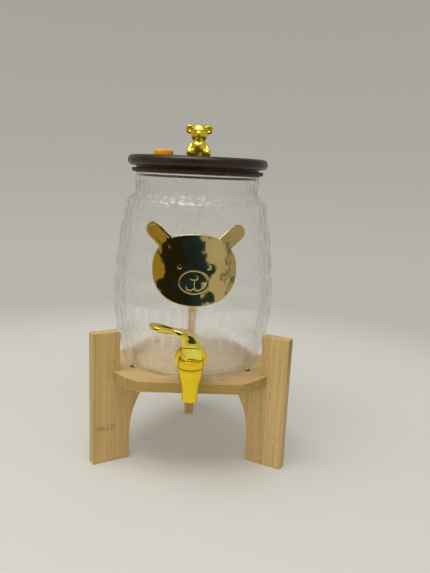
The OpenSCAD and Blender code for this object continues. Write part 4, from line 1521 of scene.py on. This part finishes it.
@dataclass
class RoundLid:
    """Lid with a stepped plug, the ring that seals it on the rim, and a plug over the vent."""

    radius: float = 68.0
    top_z: float = 297.8
    disc_z: float = 287.8
    edge: float = 4.8
    step_z: float = 285.8
    step_r: float = 60.0
    rim_z: float = 282.0
    plug_z: float = 278.0
    plug_r: float = 53.5
    seal_in_r: float = 53.65
    seal_lip_r: float = 57.6
    seal_r: float = 64.0
    seal_edge: float = 1.2
    web_z: float = 286.8
    washer_r: float = 5.3
    screw_r: float = 2.15
    vent_out: float = 41.0
    vent_turn: float = 217.6
    vent_hole_r: float = 4.2
    vent_stem_r: float = 3.9
    vent_stem_len: float = 13.0
    vent_cap_r: float = 8.9
    vent_cap_h: float = 5.5
    steps: int = 192

    def disc(self, x: float, y: float) -> Piece:
        """Lid: its half section, turned, then drilled for vent, knob screw and washer.

        Args:
            x: place of the vent.
            y: place of the vent.

        Returns:
            The piece.
        """
        section = rounded(
            (0, self.plug_z), (self.plug_r, self.plug_z, 0.5, 1), (self.plug_r, self.step_z),
            (self.step_r, self.step_z), (self.step_r, self.disc_z),
            (self.radius, self.disc_z, self.edge, 12), (self.radius, self.top_z, self.edge, 12),
            (0, self.top_z))
        lid = surface_piece("brown_lid", [turned(section, self.steps)])
        below, above = self.plug_z - PAST, self.top_z + PAST
        cut(lid, [rod(self.vent_hole_r, (x, y, below), (x, y, above)),
                  rod(self.washer_r, (0, 0, below), (0, 0, self.web_z)),
                  rod(self.screw_r, (0, 0, self.web_z - 1), (0, 0, above))])
        return lid

    def seal(self) -> Piece:
        """Seal: a flange that lies on the rim and a lip that hangs in the neck, turned.

        Returns:
            The piece.
        """
        section = rounded(
            (self.seal_in_r, self.plug_z, 0.9, 1), (self.seal_lip_r, self.plug_z, 0.9, 1),
            (self.seal_lip_r, self.rim_z), (self.seal_r, self.rim_z, self.seal_edge, 6),
            (self.seal_r, self.step_z, self.seal_edge, 6), (self.seal_in_r, self.step_z))
        return surface_piece("rim_seal", [turned(section, self.steps, ring=True)])

    def plug(self, x: float, y: float) -> Piece:
        """Vent plug: a round-edged cap with a shallow dimple over a tapered stem, turned.

        Args:
            x: place of the vent.
            y: place of the vent.

        Returns:
            The piece.
        """
        cap, stem, tip = self.vent_cap_r, self.vent_stem_r, -self.vent_stem_len
        section = rounded(
            (0, tip), (stem - 1, tip), (stem - 0.2, tip + 1), (stem, -3), (stem, 0),
            (cap, 0, 0.5, 4), (cap, self.vent_cap_h, 2.5, 9), (cap - 4, self.vent_cap_h - 0.25),
            (0, self.vent_cap_h - 0.5))
        return surface_piece("vent_plug_cap", [turned(section, 96, (x, y, self.top_z))], 40.0)

    def build(self) -> None:
        """Make the lid's pieces and dress the knob's fixings."""
        turn = math.radians(self.vent_turn)
        vent = self.vent_out * math.cos(turn), self.vent_out * math.sin(turn)
        fit(self.disc(*vent), LID_PLASTIC, "lid", "lid_disc")
        fit(self.seal(), RIM_RUBBER, "lid", "lid_seal")
        fit(self.plug(*vent), PLUG_RUBBER, "vent", "vent_plug")
        for node in ("knob_washer", "knob_screw"):
            dress(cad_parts[node], VALVE_STEEL)


@dataclass
class BearKnob:
    """Small cast bear that sits on the lid: balls and round-ended limbs, run together."""

    base_z: float = 297.8
    height: float = 31.4
    head_r: float = 8.5
    head_tall: float = 1.0
    ear_r: float = 4.4
    torso_r: float = 8.4
    sit: float = 0.5
    screw_r: float = 2.15
    screw_grip: float = 10.0
    voxel: float = 0.35
    polish: float = 0.5
    polish_rounds: int = 5

    def ear(self, side: int, y: float, radius: float) -> Patch:
        """Ball at an ear's place, y in front of it or behind."""
        z = self.base_z + self.height - 0.6 * self.head_r
        return rod(radius, *[(side * (self.head_r + self.ear_r / 9), y, z)] * 2, 40, ball=True)

    def shapes(self) -> list[Patch]:
        """Body, face and limbs, in shares of the torso's radius r and the head's radius h.

        Returns:
            Closed surfaces that run into each other.
        """
        r, h = self.torso_r, self.head_r
        z, head_z = self.base_z + r + self.sit, self.base_z + self.height - h
        muzzle, leg = 0.44 * h, 0.42 * r
        muzzle_y, muzzle_z = -0.8 * h, head_z - self.head_tall / 2 - 0.22 * h
        leg_z = self.base_z + leg + self.sit
        balls = [(r, (0, 0, z)), (muzzle, (0, muzzle_y, muzzle_z)),
                 (0.32 * muzzle, (0, muzzle_y - 0.9 * muzzle, muzzle_z + 0.35 * muzzle))]
        limbs = []
        for side in (-1, 1):
            balls.append((0.12 * h, (side * 0.36 * h, -0.86 * h, head_z + 0.26 * h)))
            limbs += [
                (0.3 * r, (side * 0.66 * r, -0.1 * r, z + 0.45 * r),
                 (side * 1.1 * r, -0.5 * r, z - 0.35 * r)),
                (leg, (side * 0.7 * r, -0.3 * r, leg_z), (side * r, -0.98 * r, leg_z)),
            ]
        return [
            *(rod(radius, place, place, 40, ball=True) for radius, place in balls),
            *(self.ear(side, 0, self.ear_r) for side in (-1, 1)),
            rod(h, (0, 0, head_z - self.head_tall), (0, 0, head_z), 64, ball=True),
            rod(0.72 * r, (0, 0, z), (0, 0, head_z)),
            rod(0.86 * r, (0, 0, self.base_z), (0, 0, self.base_z + r / 2)),
            *(rod(*limb, 32, ball=True) for limb in limbs),
        ]

    def build(self) -> None:
        """Run the shapes together on a fine grid of cells, soften the joins and bore the seat."""
        bear = surface_piece("plated_bear", self.shapes())
        cast = bear.modifiers.new("one casting", "REMESH")
        cast.mode, cast.voxel_size, cast.use_smooth_shade = "VOXEL", self.voxel * MM, True
        soften = bear.modifiers.new("polished", "SMOOTH")
        soften.factor, soften.iterations = self.polish, self.polish_rounds
        settle_modifiers(bear)
        hollows = [self.ear(side, -1.1 * self.ear_r, 0.75 * self.ear_r) for side in (-1, 1)]
        grip = self.base_z + self.screw_grip
        bore = rod(self.screw_r, (0, 0, self.base_z - 1), (0, 0, grip + 1), 32)
        cut(bear, [*hollows, bore], crease=60.0)
        fit(bear, KNOB_GOLD, "lid", "bear_knob")


# Studio


@dataclass(frozen=True)
class StudioSweep(Finish):
    """Pale paper sweep: it takes the object's shadow, and further out it glows as a lit wall.

    Attributes:
        floor: colour of the paper.
        near: glow near the object.
        low: glow at the foot of the wall.
        level: glow at level_at.
        high: glow at wall_m and above.
        level_at: share of that height.
        wall_m: height at which the last glow is reached.
        away_m: distances at which the paper starts to glow as the wall and fully does.
        own: share of its own glow that the paper has near the object.
        rough: roughness of the paper.
    """

    floor: str = "#cdcbc4"
    near: str = "#e4e1d9"
    low: str = "#b7b4ab"
    level: str = "#adaaa2"
    high: str = "#a39f98"
    level_at: float = 0.25
    wall_m: float = 1.2
    away_m: Pair = (0.20, 0.72)
    own: float = 0.18
    rough: float = 0.9

    def paint(self, tree: Tree) -> dict[str, object]:
        """Mix paper and glow by the distance from the middle, and tint the wall by its height.

        Args:
            tree: the material's nodes.

        Returns:
            What each socket of the Principled shader gets.
        """
        place = add_node(tree, "TexCoord")["Object"]
        flat = add_node(tree, "VectorMath", {0: place, 1: (1, 1, 0)}, operation="MULTIPLY")[0]
        out = add_node(tree, "VectorMath", {0: flat}, operation="LENGTH")["Value"]
        away = add_node(tree, "MapRange", {"Value": out, FROM: self.away_m},
                        interpolation_type="SMOOTHSTEP")[0]
        share = add_node(tree, "MapRange", {"Value": away, TO: (self.own, 1)})[0]
        height = add_node(tree, "SeparateXYZ", {0: place})["Z"]
        climb = add_node(tree, "MapRange", {"Value": height, FROM: (0, self.wall_m)})[0]
        wall = add_node(tree, "ValToRGB", {0: climb})[0]
        marks = wall.node.color_ramp.elements
        marks[0].color, marks[1].color = linear(self.low), linear(self.high)
        marks.new(self.level_at).color = linear(self.level)
        glow = add_node(tree, "Mix", {0: away, 6: linear(self.near), 7: wall}, data_type="RGBA")[2]
        both = add_node(tree, "MixShader", {
            0: share, 1: tree.nodes["Principled BSDF"].outputs[0],
            2: add_node(tree, "Emission", {"Color": glow})[0]})
        tree.links.new(both[0], tree.nodes["Material Output"].inputs["Surface"])
        return {"Base Color": linear(self.floor), "Roughness": self.rough}


@dataclass(frozen=True)
class RoomBeyond(Finish):
    """Room behind the camera, which only polished pieces reflect: pale walls, a dark doorway.

    Attributes:
        stops: direction from straight ahead, in degrees to the right, and the colour there.
        uneven_mm: size of the unevenness of the uprights' edges. A bent mirror squeezes what it
            shows sideways, so it is drawn out that way.
        uneven: how far the edges wander to each side, in radians.
    """

    stops: tuple[tuple[float, str], ...] = (
        (-80, "#a68f3c"), (-47, "#b09a48"), (-42, "#2b281c"), (-18, "#26261f"), (-14, "#22303a"),
        (18, "#2c3f4c"), (23, "#cfcabb"), (41, "#cbc7b8"), (43, "#45413a"), (46, "#b3ae9f"),
        (80, "#c4bfb0"),
    )
    uneven_mm: Point = (450.0, 450.0, 45.0)
    uneven: float = 0.7

    def paint(self, tree: Tree) -> dict[str, object]:
        """Colour the room by direction, and let it shine.

        Args:
            tree: the material's nodes.

        Returns:
            Nothing for the Principled shader, which is taken out.
        """
        place = add_node(tree, "TexCoord")["Object"]
        drawn = add_node(tree, "VectorMath", {
            0: place, 1: per_metre(self.uneven_mm)}, operation="MULTIPLY")[0]
        noise = add_node(tree, "TexNoise", {"Vector": drawn, "Scale": 1.0, "Detail": 2.0})[0]
        shift = add_node(tree, "MapRange", {
            "Value": noise, TO: (-self.uneven, self.uneven)})[0]
        axis = add_node(tree, "SeparateXYZ", {0: place})
        ahead = add_node(tree, "Math", {0: axis["Y"], 1: -1.0}, operation="MULTIPLY")[0]
        turn = add_node(tree, "Math", {0: axis["X"], 1: ahead}, operation="ARCTAN2")[0]
        turn = add_node(tree, "Math", {0: turn, 1: shift}, operation="ADD")[0]
        first, last = self.stops[0][0], self.stops[-1][0]
        share = add_node(tree, "MapRange", {"Value": turn, FROM: np.radians((first, last))})[0]
        wall = add_node(tree, "ValToRGB", {0: share})[0]
        marks = wall.node.color_ramp.elements
        marks[0].color, marks[1].color = linear(self.stops[0][1]), linear(self.stops[-1][1])
        for degrees, colour in self.stops[1:-1]:
            marks.new((degrees - first) / (last - first)).color = linear(colour)
        glow = add_node(tree, "Emission", {"Color": wall})[0]
        tree.nodes.remove(tree.nodes["Principled BSDF"])
        tree.links.new(glow, tree.nodes["Material Output"].inputs["Surface"])
        return {}


@dataclass
class Studio:
    """Sweep, lamps and the camera at the photograph's place.

    Attributes:
        eye: place of the camera.
        pitch: degrees that it looks down.
        yaw: degrees that it looks to the right.
        roll: degrees that it leans.
        focal_px: focal length in the photograph's pixels.
        sweep_r: radius of the round wall.
        cove_r: radius of the curve between floor and wall.
        sweep_h: height of the wall.
        floor_rings: radius of each ring of corners on the floor.
        room_r: radius of the room that is reflected.
        room_span: where it starts and ends round the axis, in degrees.
        room_z: its lower and upper edge.
        aim: what the lamps face, in metres.
        lamps: name, place and size in metres, watts, and whether polished pieces reflect it.
        sky: colour of the light all round.
        sky_level: its strength.
    """

    eye: Point = (-1.6, -586.6, 287.3)
    pitch: float = 11.315
    yaw: float = 2.3
    roll: float = 2.6
    focal_px: float = 586.9
    sweep_r: float = 1800.0
    cove_r: float = 500.0
    sweep_h: float = 2600.0
    floor_rings: Point = (0.0, 240.0, 950.0)
    room_r: float = 1250.0
    room_span: Pair = (190.0, 350.0)
    room_z: Pair = (20.0, 900.0)
    aim: Point = (0, 0, 0.16)
    lamps: tuple[tuple[str, Point, Pair, float, bool], ...] = (
        ("softbox_over", (-0.3, -0.3, 1.6), (1.1, 0.9), 14.0, True),
        ("softbox_front", (-0.45, -1.25, 0.45), (1.2, 0.5), 4.0, False),
        ("tube_left", (-0.4, -0.5, 1.4), (0.6, 0.05), 1.0, True),
        ("tube_right", (0.3, -0.5, 1.4), (0.6, 0.05), 1.0, True),
    )
    sky: str = "#d9d8d3"
    sky_level: float = 0.8

    def camera(self) -> None:
        """Set the camera: forward from yaw and pitch, then roll about it."""
        yaw, pitch, roll = (math.radians(a) for a in (self.yaw, self.pitch, self.roll))
        forward = Vector((math.sin(yaw) * math.cos(pitch), math.cos(yaw) * math.cos(pitch),
                          -math.sin(pitch)))
        level = forward.cross(Vector((0, 0, 1))).normalized()
        upright = level.cross(forward)
        right = level * math.cos(roll) + upright * math.sin(roll)
        up = upright * math.cos(roll) - level * math.sin(roll)
        data = bpy.data.cameras.new("camera")
        data.sensor_fit, data.sensor_height = "VERTICAL", 36.0
        data.lens = self.focal_px * data.sensor_height / FRAME_HEIGHT
        data.clip_start, data.clip_end = 0.01, 20.0
        eye = bpy.data.objects.new("camera", data)
        turn = Matrix((right, up, -forward)).transposed()
        eye.matrix_world = Matrix.Translation(Vector(self.eye) * MM) @ turn.to_4x4()
        bpy.context.scene.collection.objects.link(eye)
        bpy.context.scene.camera = eye

    def hang_lamps(self) -> None:
        """Make the rectangular soft lamps, which face the middle of the object."""
        for name, place, size, power, mirrored in self.lamps:
            data = bpy.data.lights.new(name, "AREA")
            data.shape, data.size, data.size_y, data.energy = "RECTANGLE", *size, power
            lamp = bpy.data.objects.new(name, data)
            turn = (Vector(self.aim) - Vector(place)).to_track_quat("-Z", "Y").to_matrix()
            lamp.matrix_world = Matrix.Translation(place) @ turn.to_4x4()
            lamp.visible_glossy = mirrored
            bpy.context.scene.collection.objects.link(lamp)

    def sweep(self) -> None:
        """Floor that curves up into a round wall: its half section, turned."""
        cove = arc((self.sweep_r - self.cove_r, self.cove_r), self.cove_r, -90, 0, 16)
        floor = [(radius, 0) for radius in self.floor_rings]
        section = np.concatenate([floor, cove, [(self.sweep_r, self.sweep_h)]])
        sweep = surface_piece("studio_sweep", [turned(section, 96)])
        dress(sweep, StudioSweep("paper_sweep"))

    def room(self) -> None:
        """Half a round wall behind the camera. Only reflections see it."""
        flat = arc((0, 0), self.room_r, *self.room_span, 39)
        rows = [np.column_stack([flat, np.full(len(flat), z)]) for z in self.room_z]
        room = surface_piece("room_beyond", [Patch(np.stack(rows), round_columns=False)])
        dress(room, RoomBeyond("unlit_room"))
        room.visible_camera = room.visible_diffuse = False
        room.visible_transmission = room.visible_shadow = False

    def build(self) -> None:
        """Make the stage, the lamps and the camera."""
        scene = bpy.context.scene
        scene.view_settings.view_transform = "Standard"
        scene.world = bpy.data.worlds.new("studio")
        scene.world.use_nodes = True
        tree = scene.world.node_tree
        connect(tree, tree.nodes["Background"], {
            "Color": linear(self.sky), "Strength": self.sky_level})
        self.sweep()
        self.room()
        self.hang_lamps()
        self.camera()


def main() -> None:
    """Build the object's sub-assemblies in order, then the studio."""
    logging.basicConfig(level=logging.INFO, format="%(name)s: %(message)s")
    for part in (
        BambooStand(), GlassJar(), MirrorPlaque(), LeverTap(), TapLever(), RoundLid(), BearKnob()
    ):
        part.build()
    Studio().build()


if __name__ == "__main__":
    main()
